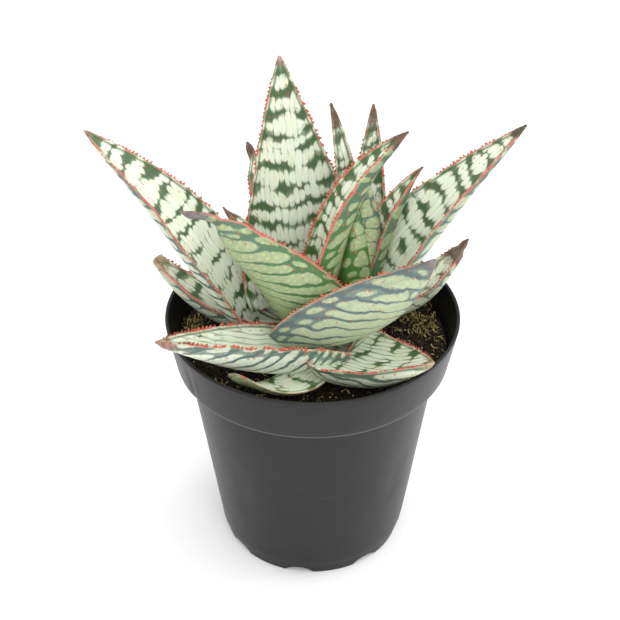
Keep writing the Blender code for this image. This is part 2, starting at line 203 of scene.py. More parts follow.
# Lights: name, place and width in metres, and power in watts
LIGHTS = (
    ("top_light", (0.1, -0.15, 1.1), 1.0, 4.5),
    ("front_light", (0.15, -1.0, 0.6), 0.8, 5.0),
    ("left_light", (-0.9, 0.45, 0.4), 0.6, 1.5),
    ("right_light", (0.9, 0.25, 0.5), 0.8, 5.0),
)

# Where the lights point and how far the camera stands to the right, both in metres
PLANT_MIDDLE = (0, 0, 0.1)
CAMERA_SIDE = -0.001

# Width of the camera's sensor, in millimetres
SENSOR_WIDTH = 36.0


@dataclass
class Leaf:
    """One leaf. Places are in millimetres and angles in degrees, 0 pointing right and -90 to the front.

    Its form starts from its solid's, and on a few leaves its width, wrap, roll, neck or taper differs.
    fresh is how green its dark parts are, dry how much of its tip has died back, shade the colour of that
    part and pitch the distance between its dark bands. band and seam say how strong the bands and the lines
    between lobes are, coral how much of its edge is coral, and thorn how tall its teeth are. back is for
    the outer face: where its bars meet, how far from the edge they start, and how white they are. finger is
    the length and half width of a narrow tip, lip how far its two edges curl up, stretch how wide its two
    halves are, and bow where a bend of the middle line starts, and how far it goes.
    """

    name: str
    foot: tuple
    launch: tuple
    tip: tuple
    width: float
    facing: float
    thick: float = 6.0
    wrap: tuple = (90.0, 60.0)
    roll: tuple = (0.0, 0.0)
    neck: float = 0.6
    shoulder: float = 0.22
    taper: float = 1.7
    worn: float = 1.0
    fresh: float = 0.4
    dry: float = 5.0
    shade: str = "brown"
    pitch: float = 9.5
    band: float = 0.0
    seam: float = 0.35
    coral: float = 0.5
    thorn: float = 1.0
    back: tuple = (0.0, 6.0, 0.0)
    finger: tuple = ()
    stretch: tuple = (1.0, 1.0)
    lip: tuple = (0.0, 0.0)
    bow: tuple = (0.0, 0.0, 0.0, 0.0)


TIP_SHADES = {
    "brown": (0.13, 0.075, 0.05),
    "pink": (0.42, 0.25, 0.19),
    "purple": (0.2, 0.17, 0.17),
    "dark": (0.05, 0.07, 0.045),
    "straw": (0.42, 0.33, 0.2),
}

LEAVES = (
    Leaf("leaf_small_front", foot=(4, -20, 103), launch=(-105, -4, 29), tip=(-33, -37, 107),
         width=16, facing=-110, thick=4.5, wrap=(20, 12), taper=5.0, fresh=0.8, dry=2, shade="straw",
         band=-0.3, coral=0.1, thorn=0.4, back=(0.0, 0.5, 0.0)),
    Leaf("leaf_low_front_left", foot=(12, -18, 101), launch=(-163, 17, 46), tip=(-60, -38, 123),
         width=46, facing=-140, wrap=(120, 110), roll=(10, 6), neck=0.32, shoulder=0.6, thick=7.5,
         fresh=0.25, dry=6, shade="pink", band=-2.0, seam=0.8, coral=0.45, thorn=1.3,
         back=(0.0, 3.0, 0.7), bow=(0.0, 0.0, -0.5, -1.8)),
    Leaf("leaf_low_front_right", foot=(6, -17, 101.6), launch=(-35, 15, 31), tip=(46, -43, 117),
         width=47, facing=-35, thick=8, wrap=(80, 70), roll=(-3, -3), taper=2.0, dry=3, shade="straw",
         band=0.3, seam=1.0, coral=0.4, pitch=12, back=(0.0, 2.0, 0.5), stretch=(0.82, 1.1),
         bow=(0.0, 0.0, -0.5, -2.5)),
    Leaf("leaf_front_right", foot=(0, -12, 107), launch=(-50, 32, 34), tip=(46, -32, 157),
         width=46, facing=-65, wrap=(90, 90), roll=(5, -50), neck=0.9, fresh=0.0, dry=5, shade="purple",
         coral=0.35, back=(7.0, 7.0, 0.15)),
    Leaf("leaf_front_left", foot=(1, -9, 107), launch=(-140, 66, 49), tip=(-50, -16, 168),
         width=49, facing=-140, wrap=(110, 90), roll=(25, 45), taper=1.0, fresh=0.8, dry=12,
         shade="purple", coral=1.0, back=(-6.0, 6.0, 0.0), finger=(15, 1.4), bow=(0.6, 0.0, 0.0, 4.5)),
    Leaf("leaf_left_large", foot=(-22, 2, 99), launch=(180, 66, 57), tip=(-85, -4, 196),
         width=40, facing=180, wrap=(70, 50), roll=(-20, -28), neck=0.6, taper=1.8, shoulder=0.6,
         fresh=0.2, dry=3, shade="pink", band=0.5, coral=0.6, back=(0.0, 1.5, 0.6), lip=(2.4, 0.0)),
    Leaf("leaf_left_low", foot=(-12, 4, 103), launch=(180, 3, 36), tip=(-68, 18, 132),
         width=26, facing=175, wrap=(110, 90), worn=0.9, fresh=0.1, dry=5, shade="straw", band=0.3,
         seam=0.7, coral=0.9, back=(0.0, 1.5, 0.4)),
    Leaf("leaf_right_large", foot=(13, 1, 105), launch=(0, 61, 60), tip=(80, 0, 196),
         width=44, facing=0, wrap=(70, 50), roll=(25, 25), neck=0.95, taper=1.3, thick=7,
         fresh=0.3, dry=6, shade="dark", pitch=8.5, band=0.4, coral=0.5, back=(0.0, 2.5, 0.3),
         lip=(0.0, 2.2)),
    Leaf("leaf_right_low", foot=(19, 8, 103), launch=(22, 13, 36), tip=(65, 30, 126),
         width=23, facing=25, wrap=(110, 120), fresh=0.1, dry=12, band=0.4, seam=0.6, coral=0.7,
         back=(0.0, 1.5, 0.3), finger=(5, 1.2), bow=(0.0, -1.0, -2.5, -3.0)),
    Leaf("heart_front", foot=(16.5, -5.5, 112), launch=(20, 88, 25), tip=(17, 0, 162),
         width=16, facing=-60, wrap=(110, 90), neck=0.5, fresh=1.0, dry=0, band=0.5, coral=1.0),
    Leaf("heart_centre", foot=(2, -3, 112), launch=(0, 86, 60), tip=(36, 0, 193),
         width=25, facing=12, wrap=(140, 110), neck=0.8, fresh=0.9, dry=7, seam=0.6, pitch=7, coral=0.8),
    Leaf("heart_right", foot=(19, 1, 114), launch=(31, 82, 42), tip=(43, 12, 171),
         width=15, facing=25, wrap=(100, 80), neck=0.5, fresh=0.5, dry=2, band=0.2, pitch=6, coral=0.6),
    Leaf("heart_right_low", foot=(21, 1, 113), launch=(0, 88, 30), tip=(20, 5, 171),
         width=24, facing=-60, wrap=(100, 80), neck=0.5, fresh=0.3, dry=2),
    Leaf("heart_back", foot=(15, 8, 120), launch=(60, 82, 40), tip=(7, 25, 192),
         width=14, facing=85, neck=0.5, fresh=0.3, dry=9, band=-0.6, pitch=5, seam=0.6, coral=0.1),
    Leaf("heart_back_right", foot=(20, 6, 118), launch=(60, 80, 40), tip=(24, 32, 188),
         width=20, facing=72, neck=0.5, fresh=0.3, dry=8, band=-0.6, pitch=6, coral=0.2),
    Leaf("leaf_back_tall", foot=(-2, 12, 108), launch=(110, 66, 45), tip=(-13, 38, 206),
         width=57, facing=100, wrap=(70, 50), neck=0.9, taper=1.5, fresh=0.4, dry=3, shade="pink",
         pitch=8, band=0.3, coral=0.3),
    Leaf("leaf_left_inner", foot=(-2, 4, 112), launch=(175, 48, 30), tip=(-35, 5, 157),
         width=14, facing=180, dry=5, band=0.2, pitch=7, coral=0.7, bow=(0.4, 0.0, 0.0, 4.0)),
    Leaf("leaf_back_left", foot=(-2, 13, 104), launch=(120, 45, 40), tip=(-27, 50, 161),
         width=34, facing=120, wrap=(80, 60), dry=6, finger=(8, 1.2)),
    Leaf("leaf_back_right", foot=(12, 12, 106), launch=(65, 42, 36), tip=(26, 50, 148),
         width=32, facing=65, wrap=(80, 60)),
    Leaf("leaf_low_back", foot=(4, 15, 101), launch=(100, 10, 36), tip=(-8, 56, 124),
         width=32, facing=100, wrap=(80, 60)),
    Leaf("leaf_low_back_left", foot=(-6, 10, 101), launch=(140, 10, 32), tip=(-38, 38, 122),
         width=30, facing=140, wrap=(80, 60)),
    Leaf("leaf_low_back_right", foot=(16, 12, 101), launch=(50, 10, 32), tip=(40, 46, 128),
         width=32, facing=50, wrap=(80, 60)),
)


class Wire:
    """One output socket of a node. Arithmetic on it adds Math nodes to its tree."""

    def __init__(self, graph, socket):
        self.graph = graph
        self.socket = socket

    def other(self, name):
        return Wire(self.graph, self.socket.node.outputs[name])

    def split(self):
        parts = self.graph.node("ShaderNodeSeparateXYZ", {}, (self,))
        return parts, parts.other("Y"), parts.other("Z")

    def __add__(self, value):
        return self.graph.maths("ADD", self, value)

    def __sub__(self, value):
        return self.graph.maths("SUBTRACT", self, value)

    def __rsub__(self, value):
        return self.graph.maths("SUBTRACT", value, self)

    def __mul__(self, value):
        return self.graph.maths("MULTIPLY", self, value)

    def __truediv__(self, value):
        return self.graph.maths("DIVIDE", self, value)

    def __gt__(self, value):
        return self.graph.maths("GREATER_THAN", self, value)

    def __abs__(self):
        return self.graph.maths("ABSOLUTE", self)

    __radd__ = __add__

    def floor(self):
        return self.graph.maths("FLOOR", self)

    def root(self):
        return self.graph.maths("SQRT", self)

    def least(self, value):
        return self.graph.maths("MAXIMUM", self, value)

    def rise(self, low, high):
        """0 below low, 1 above high, and smooth between them."""
        settings = {"interpolation_type": "SMOOTHSTEP"}
        return self.graph.node("ShaderNodeMapRange", settings,
                               {"Value": self, "From Min": low, "From Max": high})


class Graph:
    """A node tree that is written as expressions."""

    def __init__(self, tree):
        self.tree = tree

    def feed(self, socket, value):
        if isinstance(value, list):
            for one in value:
                self.feed(socket, one)
        elif isinstance(value, Wire):
            self.tree.links.new(value.socket, socket)
        elif socket.type == "RGBA":
            socket.default_value = (*value[:3], 1.0)
        else:
            socket.default_value = value

    def node(self, kind, settings, inputs):
        """Adds a node, sets it, feeds its sockets by name or in order, and gives its first output."""
        made = self.tree.nodes.new(kind)
        for name, value in settings.items():
            setattr(made, name, value)
        ready = [socket for socket in made.inputs if socket.enabled]
        if isinstance(inputs, dict):
            for name, value in inputs.items():
                self.feed(next(socket for socket in ready if socket.name == name), value)
        else:
            for socket, value in zip(ready, inputs):
                self.feed(socket, value)
        return Wire(self, next(socket for socket in made.outputs if socket.enabled))

    def maths(self, operation, *values):
        return self.node("ShaderNodeMath", {"operation": operation}, values)

    def vector(self, x, y, z):
        return self.node("ShaderNodeCombineXYZ", {}, (x, y, z))

    def mix(self, share, first, second):
        """The first colour where share is 0, and the second where it is 1."""
        return self.node("ShaderNodeMix", {"data_type": "RGBA"}, (share, first, second))

    def noise(self, place, scale=1.0, detail=2.0, roughness=0.5):
        inputs = {"Vector": place, "Scale": scale, "Detail": detail, "Roughness": roughness}
        return self.node("ShaderNodeTexNoise", {}, inputs)

    def dice(self, x, y, z):
        """A random number from 0 to 1 for each cell of whole numbers."""
        return self.node("ShaderNodeTexWhiteNoise", {}, {"Vector": self.vector(x, y, z)})

    def attribute(self, name):
        return self.node("ShaderNodeAttribute", {"attribute_name": name}, {}).other("Vector")

    def scaled(self, vector, scale):
        return self.node("ShaderNodeVectorMath", {"operation": "SCALE"}, {"Vector": vector, "Scale": scale})

    def stored(self, name, kind="FLOAT"):
        """A named attribute, inside a geometry tree."""
        return self.node("GeometryNodeInputNamedAttribute", {"data_type": kind}, {"Name": name})

    def random_vector(self, low, high, seed):
        inputs = {"Min": low, "Max": high, "Seed": seed}
        return self.node("FunctionNodeRandomValue", {"data_type": "FLOAT_VECTOR"}, inputs)

    def scatter(self, surface, density, seed):
        inputs = {"Mesh": surface, "Density": density, "Seed": seed}
        return self.node("GeometryNodeDistributePointsOnFaces", {}, inputs)

    def stand(self, normal, way):
        """A rotation that turns Z along the normal, and X towards the way."""
        upright = self.node("FunctionNodeAlignRotationToVector", {"axis": "Z"}, {"Vector": normal})
        settings = {"axis": "X", "pivot_axis": "Z"}
        return self.node("FunctionNodeAlignRotationToVector", settings, {"Rotation": upright, "Vector": way})


def finish(name, roughness, specular=0.5, flesh=0.0, flesh_depth=0.001):
    """A new material: its graph, and a function that links colour, roughness and relief to its shader."""
    made = bpy.data.materials.new(name)
    made.use_nodes = True
    shader = made.node_tree.nodes["Principled BSDF"]
    shader.inputs["Roughness"].default_value = roughness
    shader.inputs["Specular IOR Level"].default_value = specular
    shader.inputs["Subsurface Weight"].default_value = flesh
    shader.inputs["Subsurface Scale"].default_value = flesh_depth
    graph = Graph(made.node_tree)

    def coat(colour, gloss=None, relief=None, depth=0.0001):
        graph.feed(shader.inputs["Base Color"], colour)
        if gloss is not None:
            graph.feed(shader.inputs["Roughness"], gloss)
        if relief is not None:
            inputs = {"Height": relief, "Distance": depth, "Strength": 1.0}
            graph.feed(shader.inputs["Normal"], graph.node("ShaderNodeBump", {}, inputs))
        return made

    return graph, coat


def object_place(graph):
    """Object coordinates in millimetres."""
    return graph.scaled(graph.node("ShaderNodeTexCoord", {}, {}).other("Object"), 1 / MM)


def leaf_pattern_above(graph, colours, across, along, edge, seed, tone, style):
    """The inner face: pale rounded lobes in rows, with jagged dark bands between the rows."""
    fresh, pitch = tone
    band, seam_strength = style
    drift = graph.noise(graph.vector(across * 0.07, along * 0.05, seed), detail=1.0) - 0.5
    waver = graph.noise(graph.vector(across * 0.2, along * 0.09, seed + 3.1), detail=1.0)
    column = across / LOBE_WIDTH + waver * LOBE_WAVER
    cell = column.floor()
    x = (column - cell) * 2 - 1
    phase = (along + drift * BAND_DRIFT - across * across * BAND_BOW) / pitch
    row = (phase + 0.5).floor()
    jag = graph.dice(cell, row, seed) - 0.5
    off = abs((phase - row) * pitch + jag * BAND_JAG)
    vigour = graph.noise(graph.vector(across * 0.17, row * 4.7, seed), detail=0.0) - 0.5
    lobe = (1 - (1 - x * x).least(0.0).root()) * 1.5
    rim_boost = (1 - edge.rise(0.5, 7.0)) * 1.1
    dark = (vigour * 5.5 + band + 0.3 + lobe + rim_boost - off).rise(-0.7, 0.6)
    seam = abs(x).rise(0.45, 1.0) * (1 - off.rise(0.5, 6.0) * 0.6) * seam_strength
    streak = graph.noise(graph.vector(across * 1.1, along * 0.12, seed + 9.0), detail=2.0)
    pale = graph.mix(streak.rise(0.36, 0.7) * 0.6, colours.cream, colours.pale_green)
    centre = 1 - abs(x).rise(0.1, 0.75)
    glow = graph.dice(cell, (along / GLOW_LENGTH).floor(), seed + 4.0)
    pale = graph.mix(centre * glow * 0.42, pale, colours.yellow_green)
    deep = graph.mix(fresh, colours.band, colours.vivid)
    pale = graph.mix(seam, pale, graph.mix(seam_strength * 0.7, colours.grey_green, deep))
    return graph.mix(dark, pale, deep), dark


def leaf_pattern_below(graph, colours, across, along, edge, seed, fresh, back):
    """The outer face: pale rounded bars that lean to the tip at the keel, and dark between their ends."""
    keel, start, white = back
    hand = (across > keel) * OTHER_HALF
    aside = ((across - keel) * (across - keel) + KEEL_ROUNDING).root()
    bend = graph.noise(graph.vector(across * 0.1, along * 0.08, seed + 1.7), detail=1.0) - 0.5
    sweep = (along + aside * BAR_LEAN + bend * BAR_WAVER) / BAR_PITCH
    row = sweep.floor()
    wobble = graph.noise(graph.vector(across * 0.5, along * 0.5, seed), detail=1.0) - 0.5
    off = (sweep - row - 0.5) * 4.0 + wobble * 1.1
    reach = graph.dice(row, hand, seed) * start + 1.0
    past = (reach - edge).least(0.0) * 1.2
    keel_fade = 1 - aside.rise(4.0, 12.0)
    width = graph.dice(row, hand, seed + 2.0) * 0.3 + 1.35 + edge.rise(10.0, 24.0) * 0.15 + keel_fade * 0.4
    bar = (width - (off * off + past * past).root()).rise(-0.25, 0.3)
    dot_off = edge - (reach - DOT_GAP)
    dot = (1.15 - (off * off + dot_off * dot_off).root()).rise(-0.2, 0.25)
    light = bar.least(dot)
    streak = graph.noise(graph.vector(across * 0.5, along * 0.9, seed + 5.0), detail=2.0)
    pale = graph.mix(streak.rise(0.35, 0.7) * 0.7, colours.under_pale, colours.under_green)
    pale = graph.mix(fresh * 0.7, pale, colours.under_green)
    pale = graph.mix(white, pale, colours.cream)
    x, y = across / FLECK_PITCH, along / FLECK_PITCH
    cell_x, cell_y = x.floor(), y.floor()
    shift = graph.dice(cell_x, cell_y, seed + 5.0) - 0.5
    dx, dy = x - cell_x - 0.5 + shift * 0.5, y - cell_y - 0.5 - shift * 0.4
    fleck = 1 - (dx * dx + dy * dy).root().rise(0.1, 0.32)
    pale = graph.mix(fleck * 0.5, pale, colours.yellow_green)
    deep = graph.mix(fresh, colours.slate, colours.vivid)
    return graph.mix(light, deep, pale), light


def leaf_finish(colours):
    """The leaves' skin: both faces' patterns, red spots, a coral edge and a dried tip."""
    graph, coat = finish("aloe_leaf", 0.42, specular=0.35, flesh=0.12, flesh_depth=0.0012)
    across, along, edge = graph.attribute("blade").split()
    side, seed, to_tip = graph.attribute("kind").split()
    fresh, dry, pitch = graph.attribute("tone").split()
    band, seam, coral = graph.attribute("style").split()
    back = graph.attribute("back").split()
    young = fresh * (1 - along.rise(10.0, 80.0) * 0.6)
    tone, style = (young * 0.6, pitch), (band, seam)
    above, dark = leaf_pattern_above(graph, colours, across, along, edge, seed, tone, style)
    below, light = leaf_pattern_below(graph, colours, across, along, edge, seed, young, back)
    colour = graph.mix(side.rise(0.45, 0.55), below, above)
    x, y = across / SPOT_WIDTH, along / SPOT_LENGTH
    cell_x, cell_y = x.floor(), y.floor()
    throw = graph.dice(cell_x, cell_y, seed + 6.0)
    shift = graph.dice(cell_x, cell_y, seed + 8.0) - 0.5
    dx = (x - cell_x - 0.5 + shift * 0.4) * SPOT_WIDTH
    dy = (y - cell_y - 0.5 + shift * 0.5) * SPOT_LENGTH
    near = 1 - edge.rise(2.0, 8.0)
    spot = (1 - (dx * dx * 11.0 + dy * dy * 2.2).root().rise(0.5, 1.1)) * (throw > (0.9 - near * 0.4))
    colour = graph.mix(spot * 0.7, colour, colours.spot)
    line = edge.rise(0.2, 0.6) * (1 - edge.rise(0.9, 1.7))
    colour = graph.mix(line * (0.25 + side * 0.5), colour, graph.mix(young, colours.band, colours.vivid))
    dash = graph.noise(graph.vector(along * 0.28, side * 0.5, seed + 2.0), detail=0.0)
    red_rim = (dash + coral * 0.3 - 0.68).rise(-0.03, 0.04)
    rim = graph.mix(red_rim, colours.rim_pale, colours.coral)
    colour = graph.mix((1 - edge.rise(0.05, 0.35)) * (0.45 + red_rim * 0.5), colour, rim)
    mottle = graph.noise(graph.vector(across * 0.35, along * 0.25, seed), detail=3.0)
    dead = (dry - to_tip + (mottle - 0.5) * 12).rise(-3.0, 3.0)
    tip = graph.mix(mottle.rise(0.45, 0.7) * 0.8, graph.attribute("tip"), colours.tip_stain)
    colour = graph.mix(dead * 0.9, colour, tip)
    grain = graph.noise(graph.vector(across * 2.0, along * 0.7, seed), detail=3.0)
    relief = grain * 0.5 + light * (1 - side) - dark * side * 0.6 + spot * 1.2 + mottle * dead * 4
    return coat(colour, gloss=0.38 + grain * 0.16 + dead * 0.2, relief=relief, depth=0.0002)


def tooth_finish(colours):
    """Teeth and raised spots: coral and red in blotches, and brown on dried tips."""
    graph, coat = finish("aloe_tooth", 0.45, specular=0.3, flesh=0.1, flesh_depth=0.0006)
    place = object_place(graph)
    _, _, to_tip = graph.attribute("kind").split()
    _, dry, _ = graph.attribute("tone").split()
    blotch = graph.noise(place, scale=0.3, detail=2.0)
    colour = graph.mix(blotch.rise(0.38, 0.66), colours.red, colours.coral)
    dead = (dry * 2 + 4.0 - to_tip).rise(-4.0, 4.0)
    return coat(graph.mix(dead * 0.8, colour, colours.thorn))


def pot_finish(colours):
    """Charcoal moulded plastic: satin, faintly mottled, with scuffs and a painted highlight line under its
    band.
    """
    graph, coat = finish("pot_plastic", 0.36, specular=0.28)
    place = object_place(graph)
    x, y, z = place.split()
    cloud = graph.noise(place, scale=0.03, detail=4.0)
    grain = graph.noise(place, scale=1.6, detail=3.0)
    scratch = graph.noise(graph.vector(x * 0.12, y * 0.12, z * 1.4), detail=3.0)
    scuff = scratch.rise(0.66, 0.76) * cloud.rise(0.45, 0.65)
    # A painted highlight: a pale line at the band's lower bevel, where that bevel catches the light
    seam = (1 - abs(z - (POT_HEIGHT - BAND_HEIGHT + BEVEL)).rise(0.1, 0.35)) * 0.28
    colour = graph.mix(cloud.rise(0.3, 0.7), colours.pot_dark, colours.pot_light)
    colour = graph.mix(1 - z.rise(FOOT_HEIGHT - 0.5, FOOT_HEIGHT + 0.5), colour, colours.pot_foot)
    # The dust colour gives the scuffs, and also the painted highlight line under the band
    colour = graph.mix(scuff * 0.12 + seam, colour, colours.dust_and_highlight)
    gloss = 0.33 + cloud * 0.12 + scuff * 0.2
    return coat(colour, gloss=gloss, relief=grain * 0.4 + cloud * 6.0, depth=0.00008)


def soil_finish(colours):
    """Dark peat: brown crumb over black, with lighter fibres."""
    graph, coat = finish("peat_soil", 0.95, specular=0.2)
    place = object_place(graph)
    x, y, z = place.split()
    crumb = graph.noise(place, scale=0.7, detail=6.0, roughness=0.7)
    patch = graph.noise(place, scale=0.09, detail=2.0)
    fibre = graph.noise(graph.vector(x * 0.5 + y * 1.8, y * 0.4 - x * 0.5, z), detail=4.0, roughness=0.6)
    colour = graph.mix(crumb.rise(0.4, 0.62), colours.peat_dark, colours.peat_brown)
    colour = graph.mix(fibre.rise(0.6, 0.74) * patch.rise(0.35, 0.6) * 0.8, colour, colours.fibre)
    return coat(colour, relief=crumb + fibre * 0.5, depth=0.0012)


def crumb_finish(colours):
    graph, coat = finish("peat_crumb", 0.95, specular=0.15)
    place = object_place(graph)
    tone = graph.noise(place, scale=0.35, detail=1.0)
    rough = graph.noise(place, scale=2.2, detail=4.0)
    colour = graph.mix(tone.rise(0.38, 0.64), colours.peat_dark, colours.peat_brown)
    return coat(graph.mix(rough.rise(0.62, 0.78) * 0.5, colour, colours.fibre), relief=rough, depth=0.0004)


def straw_finish(colours):
    """Dry straw and moss: olive to straw yellow from strand to strand."""
    graph, coat = finish("dry_moss", 0.8, specular=0.25)
    place = object_place(graph)
    tone = graph.noise(place, scale=0.5, detail=2.0)
    colour = graph.mix(tone.rise(0.4, 0.6), colours.moss, colours.straw)
    return coat(colour)


def grit_finish(colours):
    graph, coat = finish("pale_grit", 0.7)
    tone = graph.noise(object_place(graph), scale=1.5)
    return coat(graph.mix(tone.rise(0.35, 0.65), colours.straw, colours.grit))


def stem_finish(colours):
    """The stem: green flesh with brown leaf scars."""
    graph, coat = finish("aloe_stem", 0.6)
    scar = graph.noise(object_place(graph), scale=0.5, detail=3.0)
    colour = graph.mix(scar.rise(0.45, 0.6), colours.under_green, colours.thorn)
    return coat(colour, relief=scar, depth=0.0004)


def floor_finish():
    graph, coat = finish("pale_floor", 0.6, specular=0.2)
    tone = graph.noise(object_place(graph), scale=0.004)
    return coat(graph.mix(tone, (0.94, 0.94, 0.94), (0.96, 0.96, 0.955)))


def polar(radius, degrees, height):
    angle = radians(degrees)
    return Vector((radius * cos(angle), radius * sin(angle), height))


def add_object(name, data):
    """Puts a mesh, a light or a camera in the scene as an object."""
    made = bpy.data.objects.new(name, data)
    bpy.context.scene.collection.objects.link(made)
    return made


def mesh_of(name, shape):
    """The mesh of a shape that is ready, which is then let go."""
    mesh = bpy.data.meshes.new(name)
    shape.to_mesh(mesh)
    shape.free()
    return mesh


def mesh_object(name, points, faces, finishes):
    """A smooth closed object from points in millimetres, with its faces turned outwards."""
    mesh = bpy.data.meshes.new(name)
    mesh.from_pydata([tuple(c * MM for c in p) for p in points], [], faces)
    shape = bmesh.new()
    shape.from_mesh(mesh)
    bmesh.ops.recalc_face_normals(shape, faces=shape.faces)
    shape.to_mesh(mesh)
    shape.free()
    mesh.shade_smooth()
    for one in finishes:
        mesh.materials.append(one)
    return add_object(name, mesh)


def tube_faces(rings, sides):
    """The faces between rings of points that follow each other."""
    faces = []
    for ring in range(rings - 1):
        for k in range(sides):
            a, b = ring * sides + k, ring * sides + (k + 1) % sides
            faces.append((a, b, b + sides, a + sides))
    return faces


def set_attribute(piece, name, values):
    """Stores a vector, a number or a yes or no for each point of a piece."""
    kind, number = ("BOOLEAN", bool) if values.dtype == bool else ("FLOAT", np.float32)
    field = "value"
    if values.ndim == 2:
        kind, field = "FLOAT_VECTOR", "vector"
    layer = piece.data.attributes.new(name, kind, "POINT")
    layer.data.foreach_set(field, np.asarray(values, number).ravel())


def settle(piece, slot, *nodes):
    """Makes a finished piece part of the object, in place of the solids that it stands for."""
    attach(piece, "root")
    if nodes:
        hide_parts(*nodes)


def apply_nodes(piece):
    """Turns the result of a piece's modifiers into its plain mesh."""
    bpy.context.view_layer.update()
    graph = bpy.context.evaluated_depsgraph_get()
    mesh = bpy.data.meshes.new_from_object(piece.evaluated_get(graph))
    piece.modifiers.clear()
    piece.data = mesh


def add_tree(piece, tree, values):
    """Puts a geometry tree on a piece, with its named inputs set."""
    grown = piece.modifiers.new(tree.name, "NODES")
    grown.node_group = tree
    for item in tree.interface.items_tree:
        if item.item_type == "SOCKET" and item.in_out == "INPUT" and item.name in values:
            grown[item.identifier] = values[item.name]


def new_geometry_tree(name, inputs):
    """A geometry tree with named inputs, its graph, its input wires by name and its output socket."""
    tree = bpy.data.node_groups.new(name, "GeometryNodeTree")
    tree.interface.new_socket("Geometry", in_out="INPUT", socket_type="NodeSocketGeometry")
    for label, kind in inputs:
        tree.interface.new_socket(label, in_out="INPUT", socket_type="NodeSocket" + kind)
    tree.interface.new_socket("Geometry", in_out="OUTPUT", socket_type="NodeSocketGeometry")
    graph = Graph(tree)
    entry = tree.nodes.new("NodeGroupInput")
    wires = {socket.name: Wire(graph, socket) for socket in entry.outputs if socket.name}
    leave = tree.nodes.new("NodeGroupOutput")
    return tree, graph, wires, leave.inputs[0]


def wall_radius(height):
    share = (height - FOOT_HEIGHT) / (POT_HEIGHT - BAND_HEIGHT - FOOT_HEIGHT)
    return BASE_RADIUS + (NECK_RADIUS - BASE_RADIUS) * share


def band_radius(height):
    share = (POT_HEIGHT - height) / BAND_HEIGHT
    return RIM_RADIUS + (BAND_BOTTOM_RADIUS - RIM_RADIUS) * share


def rounded(corner, before, after, radius):
    """Points of a profile's corner, eased with a short curve of about this radius."""
    corner, before, after = Vector(corner), Vector(before), Vector(after)
    start = corner + (before - corner).normalized() * radius
    end = corner + (after - corner).normalized() * radius
    points = []
    for k in range(CURVE_STEPS + 1):
        t = k / CURVE_STEPS
        points.append(tuple(start * (1 - t) ** 2 + corner * (2 * t * (1 - t)) + end * t ** 2))
    return points


def pot_profile():
    """The pot's outline as (radius, height), with its corners eased and its long runs split up."""
    ledge = POT_HEIGHT - BAND_HEIGHT
    under = FLOOR_HEIGHT - FLOOR_THICKNESS
    corners = [
        (0.0, 0.0, 0), (CENTRE_PAD_RADIUS, 0.0, 0.3), (CENTRE_PAD_RADIUS + SLOPE, under, 0.5),
        (FOOT_RADIUS - WALL, under, 0.4), (FOOT_RADIUS - WALL, 0.0, 0.3), (FOOT_RADIUS, 0.0, 0.4),
        (BASE_RADIUS - FOOT_INSET, FOOT_HEIGHT, 0.2), (BASE_RADIUS, FOOT_HEIGHT + BEVEL / 2, 0.25),
        (NECK_RADIUS, ledge, 0.5), (BAND_BOTTOM_RADIUS, ledge, 0.7), (RIM_RADIUS, POT_HEIGHT, 0.7),
        (RIM_RADIUS - WALL, POT_HEIGHT, 0.5), (band_radius(ledge + WALL) - WALL, ledge + WALL, 0.4),
        (NECK_RADIUS - WALL, ledge, 0.5), (wall_radius(FOOT_HEIGHT + SLOPE) - WALL, FOOT_HEIGHT + SLOPE, 0.8),
        (FOOT_RADIUS - WALL - BEVEL, FLOOR_HEIGHT, 0.8), (CENTRE_PAD_RADIUS + SLOPE, FLOOR_HEIGHT, 0.5),
        (CENTRE_PAD_RADIUS, WALL, 0.3), (0.0, WALL, 0),
    ]
    points = []
    for k, (radius, height, ease) in enumerate(corners):
        if not ease:
            points.append((radius, height))
            continue
        run = rounded((radius, height), corners[k - 1][:2], corners[k + 1][:2], ease)
        last = Vector(points[-1])
        gap = Vector(run[0]) - last
        pieces = ceil(gap.length / RUN_LENGTH)
        points += [tuple(last + gap * (i / pieces)) for i in range(1, pieces)]
        points += run
    return points


def dent(degrees, height):
    """How far the moulded wall stands in, in millimetres: an old fold in the band and softer dents."""
    fold = 0.0
    for azimuth, width, depth, low, high in DENTS:
        turn = (degrees - azimuth + 180) % 360 - 180
        rise = max(0.0, min(1.0, (height - low) / 6, (high - height) / 5))
        fold += depth * rise * np.exp(-(turn / width) ** 2)
    return fold + noise.noise(polar(1.3, degrees, height * 0.02)) * WALL_WAVER


def cylinder(name, radius, depth, sides, place):
    shape = bmesh.new()
    bmesh.ops.create_cone(shape, cap_ends=True, segments=sides, radius1=radius, radius2=radius, depth=depth)
    bmesh.ops.transform(shape, matrix=Matrix.Scale(MM, 4) @ place, verts=shape.verts)
    return add_object(name, mesh_of(name, shape))


def pot_cutters():
    """The arches in the foot and the drain holes, as one list of cylinders."""
    arch_radius = (ARCH_HEIGHT ** 2 + (ARCH_WIDTH / 2) ** 2) / (2 * ARCH_HEIGHT)
    cutters = []
    for k in range(FOOT_ARCHES):
        turn = Matrix.Rotation(radians(FIRST_ARCH + 360 * k / FOOT_ARCHES), 4, "Z")
        place = Matrix.Translation((FOOT_RADIUS, 0, ARCH_HEIGHT - arch_radius))
        lie = Matrix.Rotation(pi / 2, 4, "Y")
        cutters.append(cylinder("arch_cutter", arch_radius, ARCH_DEPTH, ARCH_SIDES, turn @ place @ lie))
        turn = Matrix.Rotation(radians(FIRST_ARCH + 360 * (k + 0.5) / FOOT_ARCHES), 4, "Z")
        place = Matrix.Translation((DRAIN_CIRCLE, 0, FLOOR_HEIGHT))
        cutters.append(cylinder("drain_cutter", DRAIN_RADIUS, DRAIN_DEPTH, DRAIN_SIDES, turn @ place))
    return cutters


